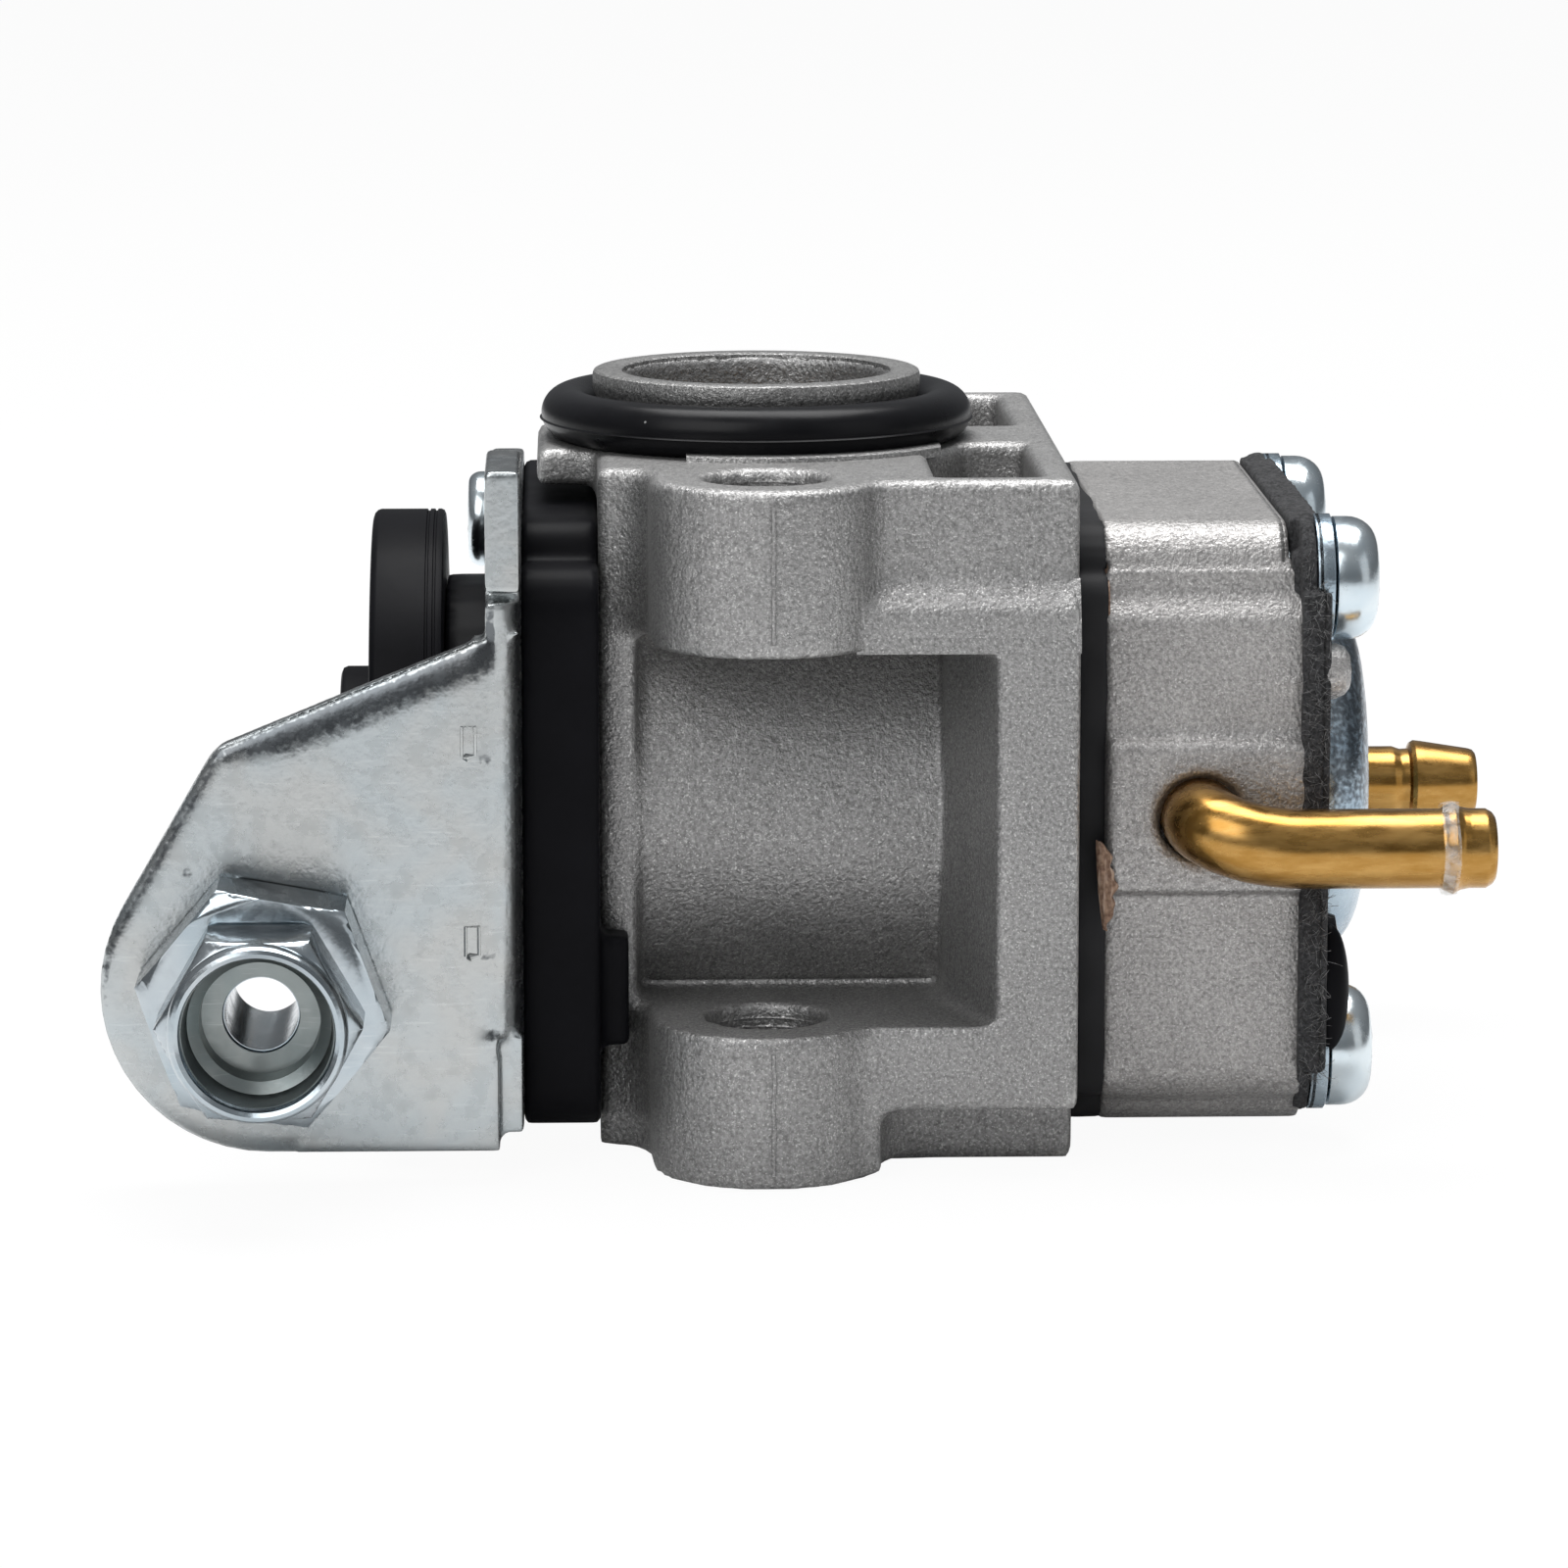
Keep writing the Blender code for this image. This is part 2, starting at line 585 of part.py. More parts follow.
def carburetor_body():
    inner_left = -BODY_LEFT + COVER_FLANGE_T
    rib_left = BODY_RIGHT - FRAME_RIB
    slope_z = FRAME_SHOULDER - FRAME_SLOPE
    step_z = -FOOT_DROP + FOOT_STEP
    body = rod("x", (0, 0), housing_r, -BODY_LEFT, BODY_RIGHT, ROUND)
    shoulder = [(-FRAME_HALF, slope_z), (-TOP_HALF, FRAME_SHOULDER)]
    shoulder += [(-y, z) for y, z in reversed(shoulder)]
    rib = [(FRAME_HALF, step_z), (-FRAME_HALF, step_z)] + shoulder
    lip = [(FRAME_HALF, flange_under), (-FRAME_HALF, flange_under)] + shoulder
    boss_side = BOSS_R / 2
    set_in = FRAME_HALF - FOOT_STEP_IN
    joined = [
        block((0, -TOP_HALF, flange_under), (BODY_RIGHT, TOP_HALF, FLANGE_TOP)),
        block((-BODY_LEFT, -COVER_FLANGE_HALF, flange_under), (boss_side, COVER_FLANGE_HALF, FLANGE_TOP)),
        prism("x", rib, rib_left, BODY_RIGHT),
        prism("x", lip, 0, BODY_RIGHT),
        block((0, -FRAME_HALF, step_z), (BODY_RIGHT, FRAME_HALF, foot_top)),
        block((0, -set_in, -FOOT_DROP), (BODY_RIGHT, set_in, foot_top)),
        block((-BODY_LEFT, -COVER_FLANGE_HALF, -COVER_FLANGE_DROP), (boss_side, COVER_FLANGE_HALF, foot_top)),
        block(
            (-BODY_LEFT, -COVER_FLANGE_HALF, -COVER_FLANGE_DROP),
            (inner_left, COVER_FLANGE_HALF, flange_under + LUG_T),
        ),
        block(
            (-BODY_LEFT - LUG_REACH, -LUG_HALF, FLANGE_TOP - LUG_T),
            (boss_side, LUG_HALF, FLANGE_TOP),
        ),
    ]
    for side in (-1, 1):
        wedge = [
            (rib_left, side * FRAME_HALF),
            (BODY_RIGHT - LAYER_GAP, side * FRAME_HALF),
            (BODY_RIGHT - LAYER_GAP, 0),
            (rib_left - FRAME_DRAFT, 0),
            (rib_left - FRAME_DRAFT, side * housing_r),
        ]
        joined.append(prism("z", wedge, foot_top - FOOT_STEP, flange_under + LUG_T))
        web_low, web_high = sorted((side * BOLT_Y, side * set_in / 2))
        for low, high in ((-FOOT_DROP, foot_top), (flange_under, FLANGE_TOP)):
            joined.append(rod("z", (0, side * BOLT_Y), BOSS_R, low, high, ROUND))
            joined.append(block((-BOSS_R, web_low, low), (0, web_high, high)))
    rim = FLANGE_TOP + SPIGOT_H
    neck = [(flange_under, 0), (flange_under, SEAL_GROOVE_R), (rim - 2 * SPIGOT_LIP, SEAL_GROOVE_R)]
    neck += [(rim - SPIGOT_LIP, SPIGOT_R), (rim, SPIGOT_R - SPIGOT_LIP / 2), (rim, 0)]
    joined.append(lathe("z", (0, 0), neck, ROUND))
    body = fuse(body, *joined, solver="MANIFOLD")
    cutters = [
        rod("z", (0, 0), BORE_R, -2 * FOOT_DROP, 2 * FLANGE_TOP, ROUND),
        rod("x", (0, 0), BARREL_R + RUN_GAP, -2 * BODY_LEFT, BARREL_RIGHT + RUN_GAP, ROUND),
        rod("x", (0, 0), NOZZLE_R + SEAT_GAP, 0, 2 * BODY_RIGHT, SMALL_ROUND),
        rod(
            "x",
            (0, 0),
            NOZZLE_HEAD_R + SEAT_GAP,
            BODY_RIGHT - NOZZLE_HEAD_T - 2 * NOZZLE_SEAL_R - 2 * SEAT_GAP,
            2 * BODY_RIGHT,
            SMALL_ROUND,
        ),
    ]
    for side in (-1, 1):
        cutters.append(rod("z", (0, side * BOLT_Y), BOLT_R, -2 * FOOT_DROP, 2 * FLANGE_TOP, SMALL_ROUND))
        near, far = sorted((side * (TOP_HALF - POCKET_WALL), side * POCKET_END))
        pocket = block(
            (SPIGOT_R, near, FLANGE_TOP - POCKET_DEPTH), (BODY_RIGHT - POCKET_WALL, far, 2 * FLANGE_TOP)
        )
        land_r = SEAL_GROOVE_R + 2 * SEAL_SECTION_R + SEAT_GAP
        land = rod("z", (0, 0), land_r, 0, 3 * FLANGE_TOP, ROUND)
        cutters.append(cut(pocket, land))
    cutters += screw_holes(PUMP_SCREWS, PUMP_SCREW_R, BODY_RIGHT - PUMP_SCREW_DEEP - SEAT_GAP, 2 * BODY_RIGHT)
    cutters += screw_holes(
        COVER_SCREWS, COVER_SCREW_R, -2 * BODY_LEFT, -BODY_LEFT + COVER_SCREW_DEEP + SEAT_GAP
    )
    piece("carburetor_body", cut(body, *cutters, solver="MANIFOLD"), CAST)


def spigot_o_ring():
    middle = SEAL_GROOVE_R + SEAT_GAP / 2 + SEAL_SECTION_R
    height = FLANGE_TOP + SEAT_GAP / 2 + SEAL_SECTION_R
    turns = [2 * math.pi * step / HOLE_ROUND for step in range(HOLE_ROUND)]
    profile = [
        (height + SEAL_SECTION_R * math.sin(t), middle + SEAL_SECTION_R * math.cos(t)) for t in turns
    ]
    piece("spigot_o_ring", lathe("z", (0, 0), profile, ROUND), RUBBER)


def throttle_barrel():
    stem_end = nub_out + STEM_OUT / 2
    profile = [(stem_end, 0), (stem_end, STEM_R), (-BARREL_LEFT, STEM_R), (-BARREL_LEFT, BARREL_R)]
    profile += [(BARREL_RIGHT, BARREL_R), (BARREL_RIGHT, 0)]
    barrel = lathe("x", (0, 0), profile, ROUND)
    passage = rod("z", (0, 0), BORE_R, -2 * BARREL_R, 2 * BARREL_R, ROUND)
    passage.data.transform(Matrix.Rotation(IDLE_ANGLE, 4, "X"))
    needle_bore = rod("x", (0, 0), NEEDLE_R + SEAT_GAP, 2 * nub_out, 0)
    nozzle_bore = rod("x", (0, 0), NOZZLE_R + RUN_GAP, 0, 2 * BARREL_RIGHT)
    barrel = cut(barrel, passage, needle_bore, nozzle_bore)
    piece("throttle_barrel", barrel, BRASS)


def fuel_needle():
    stem_end = nub_out + STEM_OUT / 2
    head_in = stem_end - SEAT_GAP
    profile = [(head_in - NEEDLE_HEAD_T, 0), (head_in - NEEDLE_HEAD_T, NEEDLE_HEAD_R)]
    profile += [(head_in, NEEDLE_HEAD_R), (head_in, NEEDLE_R), (-NEEDLE_R, NEEDLE_R)]
    profile += [(NOZZLE_TIP - RUN_GAP, NEEDLE_TIP_R), (NEEDLE_TIP_END, NEEDLE_END_R)]
    profile += [(NEEDLE_TIP_END, 0)]
    needle = lathe("x", (0, 0), profile, SMALL_ROUND)
    slot = block(
        (2 * nub_out, -IDLE_SLOT / 2, -2 * NEEDLE_HEAD_R),
        (head_in - NEEDLE_HEAD_T / 2, IDLE_SLOT / 2, 2 * NEEDLE_HEAD_R),
    )
    piece("fuel_needle", cut(needle, slot), BRASS)


def main_nozzle():
    head_right = BODY_RIGHT - SEAT_GAP
    head_left = head_right - NOZZLE_HEAD_T
    bore = NOZZLE_R - NOZZLE_WALL
    profile = [(NOZZLE_TIP, bore), (NOZZLE_TIP, NOZZLE_R), (head_left, NOZZLE_R), (head_left, NOZZLE_HEAD_R)]
    profile += [(head_right, NOZZLE_HEAD_R), (head_right, bore)]
    piece("main_nozzle", lathe("x", (0, 0), profile, SMALL_ROUND), BRASS)
    middle_x = head_left - SEAT_GAP - NOZZLE_SEAL_R
    middle_r = NOZZLE_R + NOZZLE_SEAL_R + SEAT_GAP / 2
    turns = [2 * math.pi * step / HOLE_ROUND for step in range(HOLE_ROUND)]
    section = [
        (middle_x + NOZZLE_SEAL_R * math.cos(t), middle_r + NOZZLE_SEAL_R * math.sin(t)) for t in turns
    ]
    piece("nozzle_seal", lathe("x", (0, 0), section, SMALL_ROUND), RUBBER)


def throttle_cover():
    outline = box_outline(-COVER_HALF, COVER_HALF, -cover_drop, cover_top, COVER_CORNER)
    crown = box_outline(-COVER_CROWN_HALF, COVER_CROWN_HALF, 0, cover_crown, COVER_CORNER)
    cover = prism("x", outline, cover_out, cover_in)
    tongue = block(
        (cover_out + COVER_T / 2, -COVER_HALF + TONGUE_SET, TONGUE_LOW),
        (-BODY_LEFT + TONGUE_IN, -COVER_FLANGE_HALF - SEAT_GAP, TONGUE_HIGH),
    )
    cover = fuse(
        cover,
        prism("x", crown, cover_out, cover_in),
        rod("x", (0, 0), hub_r, hub_out, cover_in - COVER_T / 2, ROUND),
        tongue,
        solver="MANIFOLD",
    )
    seal_r = STEM_R + RUN_GAP + STEM_SEAL_W + SEAT_GAP
    cover = cut(
        cover,
        rod("x", (0, 0), BARREL_R + RUN_GAP, hub_out + HUB_WALL, 0, ROUND),
        rod("x", (0, 0), STEM_R + RUN_GAP, 2 * hub_out, 0, SMALL_ROUND),
        rod("x", (0, 0), seal_r, 2 * hub_out, hub_out + STEM_SEAL_T + SEAT_GAP, SMALL_ROUND),
        block(
            (2 * hub_out, -LUG_HALF - SEAT_GAP, FLANGE_TOP - LUG_T - SEAT_GAP),
            (0, LUG_HALF + SEAT_GAP, 2 * FLANGE_TOP),
        ),
        *screw_holes(COVER_SCREWS, COVER_SCREW_R, 2 * hub_out, 0),
        solver="MANIFOLD",
    )
    piece("throttle_cover", cover, BLACK)
    seal_out = hub_out + SEAT_GAP / 2
    seal = ring("x", (0, 0), STEM_R + RUN_GAP, seal_r - SEAT_GAP, seal_out, hub_out + STEM_SEAL_T)
    piece("stem_seal", seal, RUBBER)


def barrel_spring():
    washer_right = -BARREL_LEFT - SEAT_GAP
    washer_left = washer_right - WASHER_T
    washer = ring("x", (0, 0), WASHER_IN, WASHER_OUT, washer_left, washer_right, MID_ROUND)
    piece("thrust_washer", washer, STEEL)
    start = hub_out + HUB_WALL + SEAT_GAP + SPRING_WIRE_R
    end = washer_left - SEAT_GAP - SPRING_WIRE_R
    coil("return_spring", "x", (0, 0), SPRING_R, SPRING_WIRE_R, start, end, SPRING_TURNS)


swivel_turn = math.radians(-90) + IDLE_ANGLE / 2
swivel_at = (SWIVEL_ARM * math.cos(swivel_turn), SWIVEL_ARM * math.sin(swivel_turn))


def throttle_lever():
    solid_span = 2 * math.pi - (NOTCH_END - NOTCH_START)
    rim = [NOTCH_END + solid_span * step / RIM_STEPS for step in range(RIM_STEPS + 1)]
    outline = [(LEVER_R * math.cos(t), LEVER_R * math.sin(t)) for t in rim]
    notch_span = NOTCH_END - NOTCH_START
    inner = [NOTCH_START + notch_span * step / BEND_STEPS for step in range(BEND_STEPS + 1)]
    outline += [(LEVER_NOTCH_R * math.cos(t), LEVER_NOTCH_R * math.sin(t)) for t in inner]
    lever = prism("x", outline, lever_out, lever_in)
    lever = fuse(lever, rod("x", (0, 0), LEVER_NUB_R, nub_out, lever_in - LEVER_T / 2, ROUND))
    lever = cut(
        lever,
        rod("x", (0, 0), STEM_R + SEAT_GAP, 2 * nub_out, 0, SMALL_ROUND),
        rod("x", swivel_at, SWIVEL_SHANK_R + RUN_GAP, 2 * nub_out, 0, SMALL_ROUND),
    )
    piece("throttle_lever", lever, BLACK)


def cable_swivel():
    head_in = lever_out - RUN_GAP
    head_out = -CABLE_X - SWIVEL_END
    edge = SWIVEL_R / 6
    profile = [(head_out, 0), (head_out, SWIVEL_R - edge), (head_out + edge, SWIVEL_R), (head_in, SWIVEL_R)]
    profile += [(head_in, SWIVEL_SHANK_R), (lever_in - SEAT_GAP, SWIVEL_SHANK_R), (lever_in - SEAT_GAP, 0)]
    swivel = lathe("x", swivel_at, profile, SMALL_ROUND)
    hole_z = swivel_at[1]
    hole_low = swivel_at[0] - 2 * SWIVEL_R
    hole = rod("y", (-CABLE_X, hole_z), SWIVEL_HOLE_R, hole_low, hole_low + 4 * SWIVEL_R, HOLE_ROUND)
    piece("cable_swivel", cut(swivel, hole), ZINC, (0, *swivel_at))


def cable_bracket():
    plate = rounded(
        [
            (-PLATE_NEAR + BEND_R, -plate_drop, 0),
            (PLATE_FAR, -plate_drop, PLATE_CORNER),
            (PLATE_FAR, SCREW_PITCH + PLATE_CORNER, PLATE_CORNER),
            (-PLATE_SHOULDER + PLATE_TOP - SCREW_PITCH - PLATE_CORNER, SCREW_PITCH + PLATE_CORNER, 0),
            (-PLATE_SHOULDER, PLATE_TOP, PLATE_CORNER),
            (-PLATE_NEAR + BEND_R, PLATE_TOP, 0),
        ]
    )
    bracket = prism("x", plate, plate_out, plate_in)
    near_strip = block(
        (plate_out, -PLATE_NEAR, BEND_TOP + SHEET_T / 2), (plate_in, -PLATE_NEAR + 2 * BEND_R, PLATE_TOP)
    )
    foot_strip = block(
        (plate_out, -PLATE_NEAR, -plate_drop), (plate_in, -PLATE_NEAR + 2 * BEND_R, BEND_BOTTOM - SHEET_T / 2)
    )
    knee_up = WING_KNEE_Z - CABLE_Z
    knee_out = CABLE_X - WING_KNEE_X
    arc_start = math.atan2(knee_up, knee_out) + math.acos(WING_ARC_R / math.hypot(knee_out, knee_up))
    bend_x = plate_in - BEND_R
    knee = rounded(
        [
            (bend_x, BEND_TOP, 0),
            (-WING_KNEE_X, WING_KNEE_Z, WING_KNEE_R),
            (
                -CABLE_X + WING_ARC_R * math.cos(arc_start),
                CABLE_Z + WING_ARC_R * math.sin(arc_start),
                0,
            ),
        ]
    )
    sweep_angle = 1.5 * math.pi - arc_start
    turns = [arc_start + sweep_angle * step / SMALL_ROUND for step in range(1, SMALL_ROUND + 1)]
    wing = knee + [(-CABLE_X + WING_ARC_R * math.cos(t), CABLE_Z + WING_ARC_R * math.sin(t)) for t in turns]
    wing += [(-WING_EDGE, CABLE_Z - WING_ARC_R), (-WING_EDGE, BEND_BOTTOM - SHEET_T / 2)]
    wing += [(bend_x, BEND_BOTTOM - SHEET_T / 2)]
    wing_sheet = prism("y", wing, -wing_near, -wing_near + SHEET_T)
    corner = (bend_x, -wing_near + BEND_R)
    quarter = [math.radians(-90) + math.radians(90) * step / ARC_STEPS for step in range(ARC_STEPS + 1)]
    outer = [(corner[0] + BEND_R * math.cos(t), corner[1] + BEND_R * math.sin(t)) for t in quarter]
    inner_r = BEND_R - SHEET_T
    quarter.reverse()
    inner = [(corner[0] + inner_r * math.cos(t), corner[1] + inner_r * math.sin(t)) for t in quarter]
    lead = SHEET_T / 4
    ahead = [(plate_in, corner[1] + BEND_R), (plate_out, corner[1] + BEND_R)]
    behind = [(corner[0] - lead, -wing_near + SHEET_T), (corner[0] - lead, -wing_near)]
    bend = prism("z", outer + ahead + inner + behind, BEND_BOTTOM, BEND_TOP)
    tab = block(
        (plate_out - TAB_OUT, -TAB_Y - TAB_HALF, TAB_Z - SHEET_T),
        (plate_in - SHEET_T / 2, -TAB_Y + TAB_HALF, TAB_Z),
    )
    bracket = fuse(bracket, near_strip, foot_strip, wing_sheet, bend, tab)
    idle_x = (lever_in + lever_out) / 2
    bracket = cut(
        bracket,
        rod("x", (0, 0), hub_r + SEAT_GAP, 2 * hub_out, 0, ROUND),
        rod("y", (-CABLE_X, CABLE_Z), ADJUSTER_SHANK_R + RUN_GAP, -2 * wing_near, 0, SMALL_ROUND),
        rod("z", (idle_x, -TAB_Y), IDLE_R + RUN_GAP, 2 * TAB_Z, -TAB_Z, SMALL_ROUND),
        *screw_holes(COVER_SCREWS, COVER_SCREW_R, 2 * hub_out, 0),
    )
    piece("cable_bracket", bracket, ZINC)


def cable_adjuster():
    axis = (-CABLE_X, CABLE_Z)
    nut_back = -wing_near - SEAT_GAP
    nut_front = nut_back - NUT_T
    nut = cut(
        prism("y", hexagon(axis, NUT_HEX, NUT_TURN), nut_front, nut_back),
        rod("y", axis, ADJUSTER_SHANK_R + RUN_GAP, -2 * wing_near, 0, SMALL_ROUND),
    )
    pivot = (-CABLE_X, 0, CABLE_Z)
    piece("adjuster_lock_nut", nut, ZINC, pivot)
    hex_back = nut_front - RUN_GAP
    hex_front = hex_back - ADJUSTER_HEX_T
    rim_front = hex_front - ADJUSTER_RIM_T
    tail = -TAB_Y - IDLE_HEAD_R - ADJUSTER_CLEAR
    core = rod("y", axis, ADJUSTER_SHANK_R, hex_front, tail, SMALL_ROUND)
    edge = ADJUSTER_RIM_T / 6
    rim_profile = [(rim_front, 0), (rim_front, ADJUSTER_RIM_R - edge), (rim_front + edge, ADJUSTER_RIM_R)]
    rim_profile += [(hex_front + edge, ADJUSTER_RIM_R), (hex_front + edge, 0)]
    adjuster = fuse(
        prism("y", hexagon(axis, ADJUSTER_HEX, ADJUSTER_TURN), hex_front, hex_back),
        core,
        lathe("y", axis, rim_profile, ROUND),
    )
    adjuster = cut(
        adjuster,
        rod("y", axis, FERRULE_R, 2 * rim_front, rim_front + FERRULE_DEEP, ROUND),
        rod("y", axis, CABLE_HOLE_R, 2 * rim_front, 0, SMALL_ROUND),
    )
    piece("cable_adjuster", adjuster, ZINC, pivot)


def idle_speed_screw():
    idle_x = (lever_in + lever_out) / 2
    tip = -TAB_Y * math.tan(NOTCH_START - math.pi) - RUN_GAP
    spring_top = TAB_Z - SHEET_T - SEAT_GAP
    head_top = spring_top - IDLE_SPRING_GAP
    head_low = head_top - IDLE_HEAD_T
    profile = [(tip, 0), (tip, IDLE_R), (head_top, IDLE_R), (head_top, IDLE_HEAD_R)]
    profile += [(head_low, IDLE_HEAD_R), (head_low, 0)]
    centre = (idle_x, -TAB_Y)
    screw = lathe("z", centre, profile, SMALL_ROUND)
    slot = block(
        (idle_x - 2 * IDLE_HEAD_R, -TAB_Y - IDLE_SLOT / 2, 2 * head_low),
        (idle_x + 2 * IDLE_HEAD_R, -TAB_Y + IDLE_SLOT / 2, head_low + IDLE_HEAD_T / 2),
    )
    piece("idle_speed_screw", cut(screw, slot), BRASS, (idle_x, -TAB_Y, 0))
    wire = IDLE_SPRING_WIRE_R
    coil_r = IDLE_R + RUN_GAP + wire
    start = spring_top - wire
    end = head_top + SEAT_GAP + wire
    coil("idle_screw_spring", "z", centre, coil_r, wire, start, end, IDLE_SPRING_TURNS)


def block_outline(inset):
    half = casting_half - inset
    return box_outline(-half, half, -casting_drop + inset, casting_top - inset, CASTING_CORNER)


def bump_outline(inset):
    half = bump_half - inset
    return box_outline(-half, half, -bump_drop + inset, bump_top - inset, BUMP_CORNER)


def stack_layer(low, high, inset):
    """One layer of the pump side: a rounded block crossed by a wider bump."""
    return fuse(prism("x", block_outline(inset), low, high), prism("x", bump_outline(inset), low, high))


def pump_stack():
    gasket = stack_layer(gasket_in, gasket_in + PUMP_GASKET_T, LAYER_GAP)
    chamber = (0, PUMP_CHAMBER_Z)
    through = (gasket_in - PUMP_GASKET_T, casting_in)
    gasket = cut(
        gasket,
        rod("x", chamber, PUMP_CHAMBER_R, *through, ROUND),
        rod("x", (0, 0), NOZZLE_R, *through, SMALL_ROUND),
        *screw_holes(PUMP_SCREWS, PUMP_SCREW_R, *through),
    )
    piece("pump_gasket", gasket, RUBBER)
    skin = stack_layer(diaphragm_in, diaphragm_in + PUMP_DIAPHRAGM_T, LAYER_GAP)
    skin = cut(
        skin,
        rod("x", (0, -PUMP_CHAMBER_Z), NOZZLE_R, *through, SMALL_ROUND),
        *screw_holes(PUMP_SCREWS, PUMP_SCREW_R, gasket_in, casting_out),
    )
    piece("pump_diaphragm", skin, TAN)


def pump_casting():
    casting = stack_layer(casting_in, casting_out, 0)
    peg_tip = lid_out + LAYER_GAP
    peg = [(casting_out - PEG_R, 0), (casting_out - PEG_R, PEG_R), (lid_in, PEG_R)]
    peg += [(peg_tip - PEG_R / 4, PEG_TIP_R), (peg_tip, 0)]
    joined = [lathe("x", (-peg_y, PEG_Z), peg, SMALL_ROUND)]
    cutters = []
    for side, height in ((-1, INLET_Z), (1, RETURN_Z)):
        face = side * (bump_half + PAD_PROUD)
        near, far = sorted((face, side * casting_half))
        joined.append(block((casting_in, near, height - PAD_HALF), (casting_out, far, height + PAD_HALF)))
        low, high = sorted((2 * face, face - side * (PIPE_SOCKET + SEAT_GAP)))
        cutters.append(rod("y", (PIPE_X, height), PIPE_R + SEAT_GAP, low, high, SMALL_ROUND))
    casting = fuse(casting, *joined, solver="MANIFOLD")
    valve_z = PIN_Z + VALVE_ARM
    cutters += [
        rod("x", (0, 0), CHAMBER_R, chamber_floor, 2 * casting_out, ROUND),
        rod("x", (0, PUMP_CHAMBER_Z), PUMP_CHAMBER_R, 0, casting_in + PUMP_CHAMBER_DEEP, ROUND),
        rod(
            "x",
            (0, valve_z),
            VALVE_SEAT_R + SEAT_GAP,
            chamber_floor - VALVE_SEAT_DEEP - SEAT_GAP,
            casting_out,
            SMALL_ROUND,
        ),
        rod("x", (0, METER_SPRING_Z), spring_well_r, chamber_floor - METER_SPRING_DEEP, casting_out),
        rod("x", pin_screw_at, PIN_SCREW_R + SEAT_GAP, pin_screw_end - SEAT_GAP, casting_out, HOLE_ROUND),
        *screw_holes(PUMP_SCREWS, PUMP_SCREW_R, 0, 2 * casting_out),
    ]
    casting = cut(casting, *cutters, solver="MANIFOLD")
    posts = [
        block(
            (chamber_floor - POST_W, side * (PIN_HALF - POST_W) - POST_W / 2, PIN_Z - POST_W),
            (pin_x - PIN_R - LAYER_GAP, side * (PIN_HALF - POST_W) + POST_W / 2, PIN_Z + POST_W),
        )
        for side in (-1, 1)
    ]
    piece("pump_casting", fuse(casting, *posts, solver="MANIFOLD"), CAST)


def lobed_layer(low, high):
    """The metering side's outline: a waisted plate with a lobe round each screw."""
    waist = box_outline(-waist_half, waist_half, -waist_half, waist_half, PLATE_LOBE_R)
    layer = prism("x", waist, low, high)
    lobes = [rod("x", place, PLATE_LOBE_R, low, high, MID_ROUND) for place in PUMP_SCREWS.values()]
    return fuse(layer, *lobes)


def metering_stack():
    high = seal_in + METERING_GASKET_T
    lobe_edge = SCREW_PITCH + PLATE_LOBE_R + SEAT_GAP
    edge = lobe_edge + GASKET_LIP
    tab = block((seal_in, -edge, -gasket_tab_half), (high, -SCREW_PITCH, gasket_tab_half))
    lip_out = lid_out - PLATE_T / 2
    flared = block((seal_in, -edge, -gasket_tab_half), (lip_out, -lobe_edge, gasket_tab_half))
    peg_hole = (-peg_y, PEG_Z)
    gasket = cut(
        fuse(lobed_layer(seal_in, high), tab, flared),
        rod("x", (0, 0), CHAMBER_R, 0, 2 * high, ROUND),
        rod("x", peg_hole, PEG_R + SEAT_GAP, 0, 2 * high, SMALL_ROUND),
        *screw_holes(PUMP_SCREWS, PUMP_SCREW_R, 0, 2 * high),
    )
    piece("metering_gasket", gasket, FELT)
    skin_out = skin_in + METERING_DIAPHRAGM_T
    bulge_at = (-waist_half - SEAT_GAP + BULGE_R / 7, BULGE_Z)
    bulge = [(skin_in, 0), (skin_in, BULGE_R), (lid_in, BULGE_R), (lid_out, BULGE_TOP_R)]
    bulge += [(lid_out + PLATE_T / 2, 0)]
    lip = cut(
        lathe("x", bulge_at, bulge, SMALL_ROUND),
        block((skin_out, -waist_half - SEAT_GAP, -2 * bump_drop), (2 * lid_out, 0, 2 * bump_drop)),
        rod("x", (-SCREW_PITCH, -SCREW_PITCH), PLATE_LOBE_R + SEAT_GAP, skin_out, 2 * lid_out, MID_ROUND),
    )
    skin = cut(
        fuse(lobed_layer(skin_in, skin_out), lip, solver="MANIFOLD"),
        rod("x", peg_hole, PEG_R + SEAT_GAP, 0, 2 * high, SMALL_ROUND),
        *screw_holes(PUMP_SCREWS, PUMP_SCREW_R, 0, 2 * high),
        solver="MANIFOLD",
    )
    piece("metering_diaphragm", skin, RUBBER)
    apex = lid_out + DOME_H
    crown_r = (DOME_R**2 + DOME_H**2) / (2 * DOME_H)
    spread = math.asin(DOME_R / crown_r)
    least = math.asin(VENT_R / crown_r)
    turns = [least + (spread - least) * step / ARC_STEPS for step in range(ARC_STEPS + 1)]
    outer = [(apex - crown_r * (1 - math.cos(t)), crown_r * math.sin(t)) for t in turns]
    inner = [(along - PLATE_T, radius) for along, radius in reversed(outer)]
    dome = lathe("x", (0, 0), outer + inner, ROUND)
    lid = cut(
        lobed_layer(lid_in, lid_out),
        rod("x", (0, 0), DOME_R - PLATE_T / 2, 0, 2 * lid_out, ROUND),
        rod("x", peg_hole, PEG_R + SEAT_GAP, 0, 2 * high, SMALL_ROUND),
        *screw_holes(PUMP_SCREWS, PUMP_SCREW_R, 0, 2 * lid_out),
    )
    piece("metering_cover", fuse(lid, dome), ZINC)


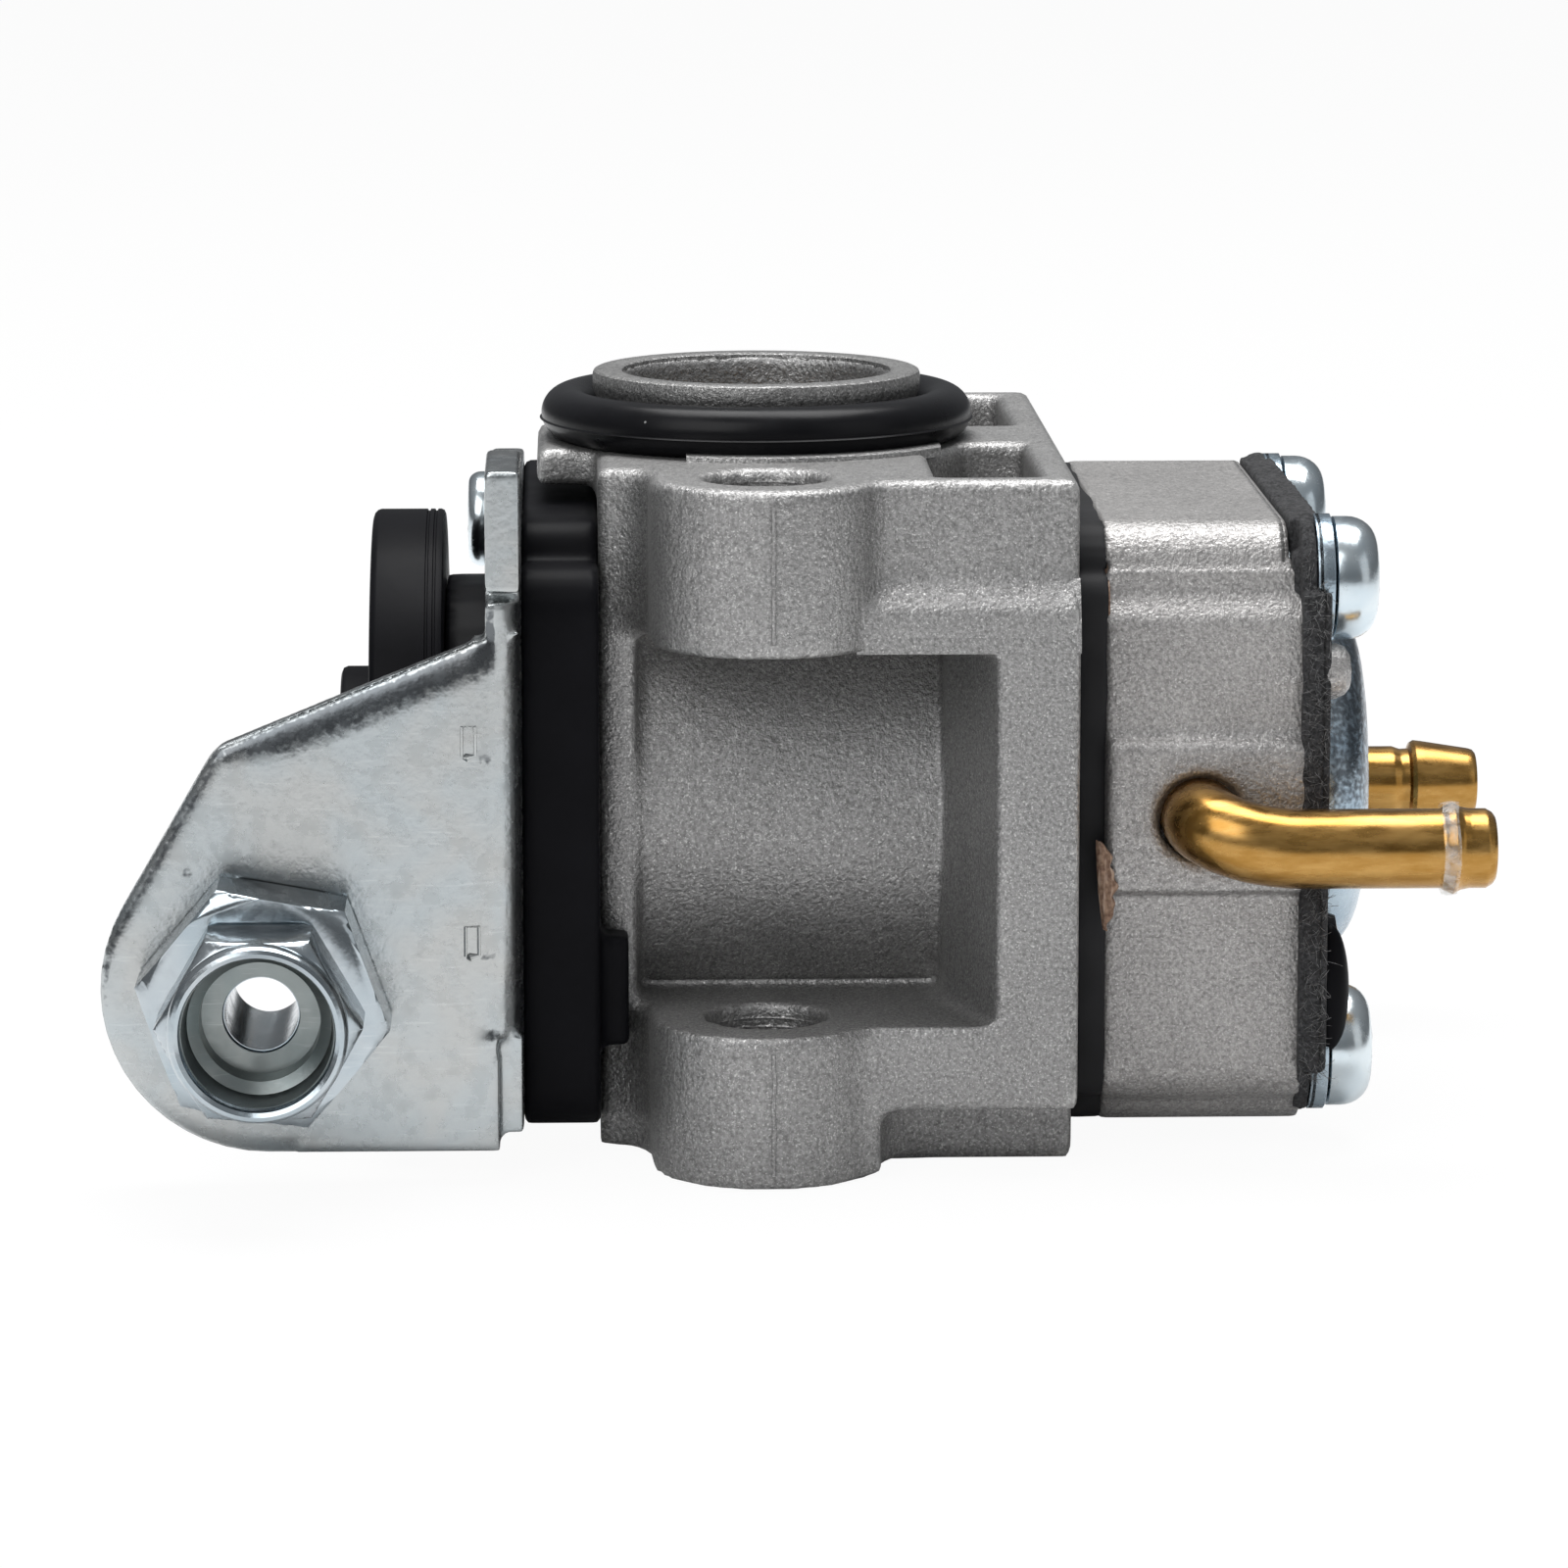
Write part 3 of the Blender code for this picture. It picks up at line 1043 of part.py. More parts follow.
def fuel_pipe(name, side, height, run_y, end, swells):
    """A brass pipe from the casting's side that bends to +X; swells are (back from the end, radius)."""
    socket_y = side * (bump_half + PAD_PROUD - PIPE_SOCKET)
    bend_y = side * (run_y - PIPE_BEND_R)
    path = [Vector((PIPE_X, socket_y, height))]
    for step in range(BEND_STEPS + 1):
        turn = math.radians(90) * step / BEND_STEPS
        x = PIPE_X + PIPE_BEND_R * (1 - math.cos(turn))
        path.append(Vector((x, bend_y + side * PIPE_BEND_R * math.sin(turn), height)))
    radii = [PIPE_R] * len(path)
    for back, radius in swells:
        path.append(Vector((end - back, side * run_y, height)))
        radii.append(radius)
    up = Vector((0, 0, 1))
    pipe = sweep(path, radii, SMALL_ROUND, up)
    inside = [path[0] - Vector((0, side * PIPE_R, 0))] + path[1:-1] + [path[-1] + Vector((PIPE_R, 0, 0))]
    bore = sweep(inside, [PIPE_BORE_R] * len(inside), HOLE_ROUND, up)
    piece(name, cut(pipe, bore), BRASS)


def fuel_fittings():
    bead = [(2.4 * BEAD_BACK, PIPE_R), (1.3 * BEAD_BACK, PIPE_R), (BEAD_BACK, BEAD_R)]
    bead += [(0.6 * BEAD_BACK, PIPE_R), (PIPE_R / 6, PIPE_R), (0, 0.88 * PIPE_R)]
    fuel_pipe("fuel_inlet_elbow", -1, INLET_Z, pipe_y, INLET_END, bead)
    barb = [(1.6 * BARB_BACK, PIPE_R), (1.02 * BARB_BACK, PIPE_R), (BARB_BACK, BARB_R)]
    barb += [(0.72 * BARB_BACK, BARB_R), (0.5 * BARB_BACK, 0.9 * PIPE_R), (0.2 * BARB_BACK, PIPE_R)]
    barb += [(0, 0.86 * PIPE_R)]
    fuel_pipe("fuel_return_elbow", 1, RETURN_Z, pipe_y, RETURN_END, barb)
    strainer_x = casting_in + PUMP_CHAMBER_DEEP - SEAT_GAP - STRAINER_T
    disc = rod(
        "x", (0, PUMP_CHAMBER_Z), PUMP_CHAMBER_R - SEAT_GAP, strainer_x, strainer_x + STRAINER_T, MID_ROUND
    )
    piece("inlet_strainer", disc, STEEL)


def metering_valve():
    pin = rod("y", (pin_x, PIN_Z), PIN_R, -PIN_HALF, PIN_HALF)
    piece("lever_pin", pin, STEEL)
    hub = rod("y", (pin_x, PIN_Z), LEVER_HUB_R, -LEVER_HUB_HALF, LEVER_HUB_HALF, SMALL_ROUND)
    arm = block((arm_in, -ARM_W / 2, PIN_Z - ARM_LOW), (arm_out, ARM_W / 2, PIN_Z + ARM_HIGH))
    lever = cut(fuse(hub, arm), rod("y", (pin_x, PIN_Z), PIN_R + LAYER_GAP, -2 * PIN_HALF, 2 * PIN_HALF))
    piece("metering_lever", lever, STEEL, (pin_x, 0, PIN_Z))
    head_in = pin_x + PIN_R + SEAT_GAP
    profile = [(pin_screw_end, 0), (pin_screw_end, PIN_SCREW_R)]
    profile += [(head_in, PIN_SCREW_R), (head_in, PIN_SCREW_HEAD_R)]
    profile += [(head_in + PIN_SCREW_HEAD_T, PIN_SCREW_HEAD_R), (head_in + PIN_SCREW_HEAD_T, 0)]
    piece("pin_screw", lathe("x", pin_screw_at, profile, SMALL_ROUND), STEEL)
    valve_at = (0, PIN_Z + VALVE_ARM)
    seat_low = chamber_floor - VALVE_SEAT_DEEP
    seat = ring("x", valve_at, VALVE_R + RUN_GAP, VALVE_SEAT_R, seat_low, chamber_floor, SMALL_ROUND)
    piece("needle_seat", seat, BRASS)
    tip = [(seat_low + SEAT_GAP, 0), (seat_low + SEAT_GAP + VALVE_TIP, VALVE_R)]
    tip += [(arm_in - SEAT_GAP, VALVE_R), (arm_in - SEAT_GAP, 0)]
    piece("inlet_needle", lathe("x", valve_at, tip, SMALL_ROUND), STEEL)
    wire = METER_SPRING_WIRE_R
    start = chamber_floor - METER_SPRING_DEEP + SEAT_GAP + wire
    end = arm_in - SEAT_GAP - wire
    coil(
        "metering_spring", "x", (0, METER_SPRING_Z), METER_SPRING_R, wire, start, end, METER_SPRING_TURNS
    )
    disc_out = skin_in - SEAT_GAP
    disc_in = disc_out - BUTTON_T
    profile = [(arm_out + SEAT_GAP, 0), (arm_out + SEAT_GAP, BUTTON_PIN_R), (disc_in, BUTTON_PIN_R)]
    profile += [(disc_in, BUTTON_R), (disc_out, BUTTON_R), (disc_out, 0)]
    piece("diaphragm_button", lathe("x", (0, 0), profile, MID_ROUND), STEEL)


def screws():
    for name, place in PUMP_SCREWS.items():
        deep = lid_out - BODY_RIGHT + PUMP_SCREW_DEEP
        screw = pan_screw("x", place, lid_out, 1, PUMP_SCREW_R, deep, PUMP_HEAD_R, PUMP_HEAD_T)
        piece(name, screw, ZINC)
    for name, place in COVER_SCREWS.items():
        deep = -BODY_LEFT - plate_out + COVER_SCREW_DEEP
        screw = pan_screw("x", place, plate_out, -1, COVER_SCREW_R, deep, COVER_HEAD_R, COVER_HEAD_T)
        piece(name, screw, ZINC)


def stand_on_foot():
    """Moves the whole part so that the bottom centre of its box is the origin."""
    bpy.context.view_layer.update()
    points = [made.matrix_world @ Vector(corner) for made in root.children for corner in made.bound_box]
    low = Vector([min(point[place] for point in points) for place in range(3)])
    high = Vector([max(point[place] for point in points) for place in range(3)])
    root.location = (-(low.x + high.x) / 2, -(low.y + high.y) / 2, -low.z)
    bpy.context.view_layer.update()
    print("design origin at", [round(value * 1000, 4) for value in root.location], "mm")


carburetor_body()
spigot_o_ring()
throttle_barrel()
fuel_needle()
main_nozzle()
throttle_cover()
barrel_spring()
throttle_lever()
cable_swivel()
cable_bracket()
cable_adjuster()
idle_speed_screw()
pump_stack()
pump_casting()
metering_stack()
fuel_fittings()
metering_valve()
screws()
stand_on_foot()
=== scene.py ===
"""Looks of a small rotary-barrel carburetor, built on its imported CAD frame.

Shapes are worked out in millimetres from the point where the intake bore crosses the throttle barrel:
+X towards the metering side, -Y towards the cable, +Z up the bore. Finished pieces are in metres.
"""

import json
import math

import bmesh
import bpy
import numpy as np
from mathutils import Matrix, Vector, noise


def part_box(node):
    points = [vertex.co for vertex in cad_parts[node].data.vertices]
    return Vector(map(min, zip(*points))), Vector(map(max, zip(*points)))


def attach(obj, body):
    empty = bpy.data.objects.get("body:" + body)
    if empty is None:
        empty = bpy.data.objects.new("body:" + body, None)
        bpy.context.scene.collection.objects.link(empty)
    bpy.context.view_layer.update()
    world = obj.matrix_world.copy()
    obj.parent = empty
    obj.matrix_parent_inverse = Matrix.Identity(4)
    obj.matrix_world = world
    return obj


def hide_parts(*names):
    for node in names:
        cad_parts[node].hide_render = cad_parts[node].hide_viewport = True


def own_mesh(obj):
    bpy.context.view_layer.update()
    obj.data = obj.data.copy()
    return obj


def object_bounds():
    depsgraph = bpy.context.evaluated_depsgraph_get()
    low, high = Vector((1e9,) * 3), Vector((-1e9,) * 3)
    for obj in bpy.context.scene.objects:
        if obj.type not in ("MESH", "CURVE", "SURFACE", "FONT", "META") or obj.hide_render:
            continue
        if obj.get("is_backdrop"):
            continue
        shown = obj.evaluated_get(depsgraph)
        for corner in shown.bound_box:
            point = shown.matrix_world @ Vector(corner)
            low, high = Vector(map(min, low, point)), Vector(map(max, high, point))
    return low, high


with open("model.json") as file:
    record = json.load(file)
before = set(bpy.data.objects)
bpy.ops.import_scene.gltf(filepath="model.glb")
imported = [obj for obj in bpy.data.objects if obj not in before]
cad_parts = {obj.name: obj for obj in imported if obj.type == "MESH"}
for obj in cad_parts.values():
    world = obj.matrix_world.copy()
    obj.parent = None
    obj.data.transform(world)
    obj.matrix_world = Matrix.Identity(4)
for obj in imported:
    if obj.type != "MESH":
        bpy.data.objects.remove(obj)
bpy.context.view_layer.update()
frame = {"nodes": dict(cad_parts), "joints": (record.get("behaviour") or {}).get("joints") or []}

MM = 0.001
JOINT_AT = {joint["name"]: Vector(joint.get("pos_m", (0, 0, 0))) for joint in frame["joints"]}
CENTRE = JOINT_AT["throttle_turn"]
TO_WORLD = Matrix.Translation(CENTRE) @ Matrix.Scale(MM, 4)
TO_DESIGN = TO_WORLD.inverted()
AXES = {"x": (1, 2, 0), "y": (0, 2, 1), "z": (0, 1, 2)}
UP = Vector((0, 0, 1))
MIDDLE = (0, 0)
SIDES = (-1, 1)
QUARTER = math.pi / 2
SHARP = math.radians(35)
WELD = 0.0005

# Round shapes
FINEST = 128
FINE = 96
MEDIUM = 64
SMALL = 32

# Cast and moulded copies: voxel size and rounds of smoothing
BODY_SKIN = (0.316, 3)
CASTING_SKIN = (0.22, 9)
SHEET_SKIN = (0.17, 3)
COVER_SKIN = (0.24, 3)
GASKET_SKIN = (0.17, 2)

# Camera of the photograph: a picture 1600 pixels wide
PICTURE = 1600
SENSOR = 36.0
FOCAL_PX = 6730.0
PITCH = math.radians(10.11)
YAW = math.radians(1.843)
EYE = Vector((-8.70, -311.36, 55.06))


def put(axis, u, v, along):
    """A point from its two coordinates across an axis and the one along it."""
    point = [0.0, 0.0, 0.0]
    for place_of, value in zip(AXES[axis], (u, v, along)):
        point[place_of] = value
    return Vector(point)


def joint_place(joint):
    """Where a joint lies, in millimetres from the centre."""
    return (JOINT_AT[joint] - CENTRE) / MM


def span(node):
    """A CAD node's lowest and highest corner in millimetres from the centre."""
    low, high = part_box(node)
    return TO_DESIGN @ low, TO_DESIGN @ high


def evenly(low, high, count):
    """Values in even steps from low to high, both included."""
    return [low + (high - low) * step / count for step in range(count + 1)]


def held(share):
    """A share kept between 0 and 1."""
    return max(0.0, min(1.0, share))


def eased(share):
    """A share that starts and ends gently."""
    share = held(share)
    return share * share * (3 - 2 * share)


def on_circle(centre, radius, turn):
    return centre[0] + radius * math.cos(turn), centre[1] + radius * math.sin(turn)


def shifted(profile, start):
    """A profile of (along, radius) points moved along its axis."""
    return [(start + along, radius) for along, radius in profile]


def walled(bm, rings):
    """Faces between each ring of points and the next; a ring may be a single point."""
    for first, second in zip(rings, rings[1:]):
        count = max(len(first), len(second))
        for here in range(count):
            after = (here + 1) % count
            corners = [first[here % len(first)], first[after % len(first)]]
            corners += [second[after % len(second)], second[here % len(second)]]
            bm.faces.new(list(dict.fromkeys(corners)))


def capped(bm, rings):
    """A solid from its rings, closed at the first and the last."""
    walled(bm, rings)
    bm.faces.new(rings[0])
    bm.faces.new(rings[-1])
    bmesh.ops.recalc_face_normals(bm, faces=bm.faces)
    return bm


def lathe(axis, centre, profile, steps=MEDIUM):
    """A profile of (along, radius) points turned about an axis; a ring unless it ends on the axis."""
    bm = bmesh.new()
    turns = evenly(0, 2 * math.pi, steps)[:-1]
    rings = []
    for along, radius in profile:
        spots = turns if radius else turns[:1]
        rings.append([bm.verts.new(put(axis, *on_circle(centre, radius, t), along)) for t in spots])
    if profile[0][1] and profile[-1][1]:
        rings.append(rings[0])
    walled(bm, rings)
    bmesh.ops.recalc_face_normals(bm, faces=bm.faces)
    return bm


def rod(axis, centre, low, high, radius, steps=MEDIUM):
    return lathe(axis, centre, [(low, 0), (low, radius), (high, radius), (high, 0)], steps)


def shrunk(outline, inset):
    """An outline that runs anticlockwise, moved inwards by the same distance all round."""
    points = np.array(outline, float)
    ahead = np.roll(points, -1, 0) - points
    ahead /= np.linalg.norm(ahead, axis=1)[:, None]
    inward = np.stack([-ahead[:, 1], ahead[:, 0]], 1)
    before = np.roll(inward, 1, 0)
    lean = 1 + (inward * before).sum(1)
    return points + inset * (inward + before) / np.maximum(lean, 0.5)[:, None]


def layered(axis, outline, layers):
    """A solid of one outline, whose layers are (along, inset) pairs from one end face to the other."""
    bm = bmesh.new()
    rings = []
    for along, inset in layers:
        rings.append([bm.verts.new(put(axis, u, v, along)) for u, v in shrunk(outline, inset)])
    return capped(bm, rings)


def prism(axis, outline, low, high):
    return layered(axis, outline, [(low, 0), (high, 0)])


def hexagon(centre, across_flats, turned, steps):
    """A hexagon with a few points along each side, so that a chamfer can follow it."""
    reach = across_flats / math.sqrt(3)
    points = [Vector(on_circle(centre, reach, turned + math.radians(60 * step))) for step in range(7)]
    return [a.lerp(b, step / steps) for a, b in zip(points, points[1:]) for step in range(steps)]


def box_shape(low, high):
    bm = bmesh.new()
    bmesh.ops.create_cube(bm, size=1.0)
    size = [b - a for a, b in zip(low, high)]
    middle = [(a + b) / 2 for a, b in zip(low, high)]
    bmesh.ops.scale(bm, vec=size, verts=bm.verts)
    bmesh.ops.translate(bm, vec=middle, verts=bm.verts)
    return bm


def sweep(path, radii, sides, up):
    """A round bar along a path, with a radius for each point of it."""
    bm = bmesh.new()
    side = up
    rings = []
    turns = evenly(0, 2 * math.pi, sides)[:-1]
    for index, point in enumerate(path):
        ahead = (path[min(index + 1, len(path) - 1)] - path[max(index - 1, 0)]).normalized()
        side = (side - ahead * side.dot(ahead)).normalized()
        other = ahead.cross(side)
        arms = [(side * math.cos(t) + other * math.sin(t)) * radii[index] for t in turns]
        rings.append([bm.verts.new(point + arm) for arm in arms])
    return capped(bm, rings)


def cad_copy(node):
    """A CAD node's mesh with its loose triangles joined, in millimetres."""
    bm = bmesh.new()
    bm.from_mesh(frame["nodes"][node].data)
    bmesh.ops.transform(bm, matrix=TO_DESIGN, verts=bm.verts)
    bmesh.ops.remove_doubles(bm, verts=bm.verts, dist=WELD)
    return bm


def mesh_from(bm, name="shape"):
    mesh = bpy.data.meshes.new(name)
    bm.to_mesh(mesh)
    bm.free()
    return mesh


def linked(name, data):
    """A new object of the scene."""
    made = bpy.data.objects.new(name, data)
    bpy.context.scene.collection.objects.link(made)
    return made


def joined(*shapes):
    """Several shapes in one mesh; a remesh makes them one body."""
    whole = bmesh.new()
    for shape in shapes:
        mesh = mesh_from(shape)
        whole.from_mesh(mesh)
        bpy.data.meshes.remove(mesh)
    return whole


def modified(bm, set_up):
    """The shape after modifiers that set_up puts on it."""
    shape = linked("shape", mesh_from(bm))
    set_up(shape)
    bpy.context.view_layer.update()
    graph = bpy.context.evaluated_depsgraph_get()
    mesh = bpy.data.meshes.new_from_object(shape.evaluated_get(graph))
    out = bmesh.new()
    out.from_mesh(mesh)
    old = shape.data
    bpy.data.objects.remove(shape, do_unlink=True)
    bpy.data.meshes.remove(old)
    bpy.data.meshes.remove(mesh)
    return out


def carved(target, *cutters):
    """The target less its cutters."""
    tools = [linked("cutter", mesh_from(cutter)) for cutter in cutters]

    def set_up(shape):
        for tool in tools:
            change = shape.modifiers.new("cut", "BOOLEAN")
            change.operation = "DIFFERENCE"
            change.solver = "EXACT"
            change.object = tool

    out = modified(target, set_up)
    for tool in tools:
        bpy.data.objects.remove(tool, do_unlink=True)
    bmesh.ops.remove_doubles(out, verts=out.verts, dist=WELD)
    return out


def remeshed(bm, skin_of):
    """The shape as an even skin with its corners softened, as a casting or a moulding has them."""

    def set_up(shape):
        skin = shape.modifiers.new("skin", "REMESH")
        skin.mode = "VOXEL"
        soft = shape.modifiers.new("soft", "SMOOTH")
        soft.factor = 0.5
        skin.voxel_size, soft.iterations = skin_of

    return modified(bm, set_up)


def bevelled(bm, width, segments=2):
    """The shape with its sharp edges rounded."""
    bmesh.ops.dissolve_limit(bm, angle_limit=math.radians(1), verts=bm.verts, edges=bm.edges)

    def set_up(shape):
        change = shape.modifiers.new("edges", "BEVEL")
        change.width = width
        change.segments = segments
        change.limit_method = "ANGLE"
        change.angle_limit = SHARP
        change.use_clamp_overlap = True

    return modified(bm, set_up)


def read_rows(items, name, kind, width):
    """One value of every point or edge of a mesh, a row for each."""
    rows = np.empty(len(items) * width, kind)
    items.foreach_get(name, rows)
    return rows.reshape(-1, width)


def mark_edges(mesh, voxel):
    """Writes how far each point stands out from its neighbours, for wear along the edges."""
    places = read_rows(mesh.vertices, "co", float, 3)
    facing = read_rows(mesh.vertices, "normal", float, 3)
    pairs = read_rows(mesh.edges, "vertices", int, 2)

    def summed(values):
        """The sum of each point's neighbours."""
        total = np.zeros_like(values)
        for a, b in ((0, 1), (1, 0)):
            np.add.at(total, pairs[:, a], values[pairs[:, b]])
        return total

    near = summed(np.ones(len(places)))
    lean = ((places - summed(places) / near[:, None]) * facing).sum(1) / (voxel * MM)
    for _ in range(2):
        lean = (lean + summed(lean) / near) / 2
    wear = mesh.attributes.new("wear", "FLOAT", "POINT")
    wear.data.foreach_set("value", lean.astype(np.float32))


def piece(name, bm, material, body, nodes=(), skin=None):
    """Names a finished shape, puts it in the frame, gives it its finish, hangs it on its body and hides the
    CAD nodes it takes the place of.
    """
    bmesh.ops.transform(bm, matrix=TO_WORLD, verts=bm.verts)
    mesh = mesh_from(bm, name)
    mesh.materials.clear()
    mesh.materials.append(material)
    mesh.shade_smooth()
    if skin:
        mark_edges(mesh, skin[0])
    else:
        mesh.set_sharp_from_angle(angle=SHARP)
    made = linked(name, mesh)
    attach(made, body)
    if nodes:
        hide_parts(*nodes)
    return made


# Shader building


def link(tree, socket, value):
    """Links a socket to another one, or sets it to a plain value."""
    if isinstance(value, bpy.types.NodeSocket):
        tree.links.new(value, socket)
    else:
        socket.default_value = value


def feed(tree, made, values):
    """Sets or links several inputs of a node."""
    for name, value in values.items():
        link(tree, made.inputs[name], value)


def place(tree, kind, inputs=None, **settings):
    """A node with its settings, and its inputs set or linked."""
    made = tree.nodes.new(kind)
    for name, value in settings.items():
        setattr(made, name, value)
    feed(tree, made, inputs or {})
    return made


def new_group(name, values, results):
    """A shader group with a vector, named values and named results."""
    tree = bpy.data.node_groups.new(name, "ShaderNodeTree")
    tree.interface.new_socket("Vector", in_out="INPUT", socket_type="NodeSocketVector")
    for label, value in values.items():
        socket = tree.interface.new_socket(label, in_out="INPUT", socket_type="NodeSocketFloat")
        socket.default_value = value
    for label in results:
        tree.interface.new_socket(label, in_out="OUTPUT", socket_type="NodeSocketFloat")
    return tree, tree.nodes.new("NodeGroupInput").outputs, tree.nodes.new("NodeGroupOutput")


def scaled(tree, value, low, high, to_low=0.0, to_high=1.0):
    """A value stretched from one range to another, held inside it."""
    ends = {"Value": value, "From Min": low, "From Max": high, "To Min": to_low, "To Max": to_high}
    return place(tree, "ShaderNodeMapRange", ends).outputs["Result"]


def blended(tree, factor, first, second):
    """Two colours mixed by a factor."""
    made = place(tree, "ShaderNodeMix", data_type="RGBA")
    for name, value in (("Factor", factor), ("A", first), ("B", second)):
        link(tree, next(s for s in made.inputs if s.name == name and s.enabled), value)
    return next(s for s in made.outputs if s.enabled)


def maths(tree, operation, first, second=0.0):
    return place(tree, "ShaderNodeMath", {0: first, 1: second}, operation=operation).outputs["Value"]


def times(tree, first, second):
    return maths(tree, "MULTIPLY", first, second)


def mottled(tree, vector, scale, detail, roughness=0.5, distortion=0.0):
    """Soft noise: the scale of its patches, and how finely and roughly they are broken up."""
    inputs = {"Vector": vector, "Scale": scale, "Detail": detail, "Roughness": roughness}
    return place(tree, "ShaderNodeTexNoise", inputs | {"Distortion": distortion}).outputs[0]


def stretched(tree, vector, scale, turned=(0, 0, 0)):
    inputs = {"Vector": vector, "Rotation": turned, "Scale": scale}
    return place(tree, "ShaderNodeMapping", inputs).outputs[0]


def grain_group():
    """Pebbled cast skin: height of the pebbles, bright flecks that also serve as painted glints, and slow
    cloudy patches.
    """
    results = ("Height", "Pebbles", "Flecks and painted glints", "Clouds")
    tree, start, end = new_group("Cast grain", {"Size": 4200.0}, results)
    at = start["Vector"]
    size = start["Size"]
    pebbles = mottled(tree, at, size, 2.0, 0.6)
    coarse = mottled(tree, at, times(tree, size, 0.3), 1.0)
    fine = mottled(tree, at, times(tree, size, 1.9), 1.0)
    clouds = mottled(tree, at, 160.0, 3.0, 0.6)
    height = maths(tree, "ADD", pebbles, times(tree, coarse, 0.7))
    feed(tree, end, {"Height": height, "Pebbles": scaled(tree, pebbles, 0.3, 0.7)})
    feed(tree, end, {"Flecks and painted glints": scaled(tree, fine, 0.58, 0.74), "Clouds": scaled(tree, clouds, 0.35, 0.7)})
    return tree


def wear_group():
    """A broken mask along the edges that stand out."""
    tree, start, end = new_group("Edge wear", {"Least": 0.1, "Most": 0.3, "Size": 2500.0}, ("Mask",))
    wear = place(tree, "ShaderNodeAttribute", attribute_name="wear").outputs["Fac"]
    rough = mottled(tree, start["Vector"], start["Size"], 2.0)
    broken = times(tree, maths(tree, "SUBTRACT", rough, 0.5), 0.25)
    edge = maths(tree, "ADD", wear, broken)
    feed(tree, end, {"Mask": scaled(tree, edge, start["Least"], start["Most"])})
    return tree


def stain_group():
    """Bright plating: slow tinted patches, smudges, fine scratches and a dimpled skin."""
    results = ("Tint", "Smudge", "Scratches", "Height")
    tree, start, end = new_group("Plating stains", {"Patch": 260.0}, results)
    at = start["Vector"]
    tint = mottled(tree, at, start["Patch"], 3.0, 0.5, 0.6)
    smudge = mottled(tree, at, 900.0, 4.0, 0.7)
    lines = mottled(tree, stretched(tree, at, (1, 1, 14), (0.2, 0.5, 0.3)), 500.0, 2.0)
    skin = mottled(tree, at, 3600.0, 1.0)
    feed(tree, end, {"Tint": scaled(tree, tint, 0.36, 0.64), "Smudge": scaled(tree, smudge, 0.45, 0.72)})
    feed(tree, end, {"Scratches": scaled(tree, lines, 0.62, 0.74), "Height": skin})
    return tree


def dust_group():
    """Sparse specks of dust and lint on a dark surface."""
    tree, start, end = new_group("Dust specks", {"Size": 700.0, "Amount": 0.09}, ("Mask",))
    spots = place(tree, "ShaderNodeTexVoronoi", {"Vector": start["Vector"], "Scale": start["Size"]}).outputs
    pick = place(tree, "ShaderNodeSeparateColor", {"Color": spots["Color"]}).outputs[0]
    chosen = maths(tree, "GREATER_THAN", pick, 0.86)
    near = maths(tree, "LESS_THAN", spots["Distance"], start["Amount"])
    feed(tree, end, {"Mask": times(tree, chosen, near)})
    return tree


GROUPS = {"grain": grain_group(), "wear": wear_group(), "stain": stain_group(), "dust": dust_group()}


def new_finish(name):
    """A material with its shader, and the surface's own coordinates."""
    material = bpy.data.materials.new(name)
    material.use_nodes = True
    tree = material.node_tree
    at = tree.nodes.new("ShaderNodeTexCoord").outputs["Object"]
    return material, tree, tree.nodes["Principled BSDF"], at


def use(tree, group, inputs):
    return place(tree, "ShaderNodeGroup", inputs, node_tree=GROUPS[group]).outputs


def bump(tree, shader, height, strength, distance):
    made = place(tree, "ShaderNodeBump", {"Height": height, "Strength": strength, "Distance": distance})
    feed(tree, shader, {"Normal": made.outputs["Normal"]})


def cast_finish(name, dark, light, size):
    material, tree, shader, at = new_finish(name)
    grain = use(tree, "grain", {"Vector": at, "Size": size})
    worn = use(tree, "wear", {"Vector": at, "Least": 0.10, "Most": 0.26})["Mask"]
    # The colour's pebble tone and bright flecks are partly grain and partly painted light: painted shading of
    # the pebbles and painted glints off their facets.
    shade = maths(tree, "ADD", times(tree, grain["Pebbles"], 0.8), times(tree, grain["Clouds"], 0.2))
    skin = blended(tree, shade, (*dark, 1), (*light, 1))
    with_painted_glints = blended(tree, times(tree, grain["Flecks and painted glints"], 0.5), skin, (0.80, 0.79, 0.78, 1))
    bright = blended(tree, times(tree, worn, 0.75), with_painted_glints, (0.74, 0.73, 0.72, 1))
    rough = maths(tree, "SUBTRACT", scaled(tree, grain["Flecks and painted glints"], 0, 1, 0.5, 0.3), times(tree, worn, 0.12))
    feed(tree, shader, {"Base Color": bright, "Roughness": rough, "Metallic": 0.85})
    bump(tree, shader, grain["Height"], 0.9, 0.00008)
    return material


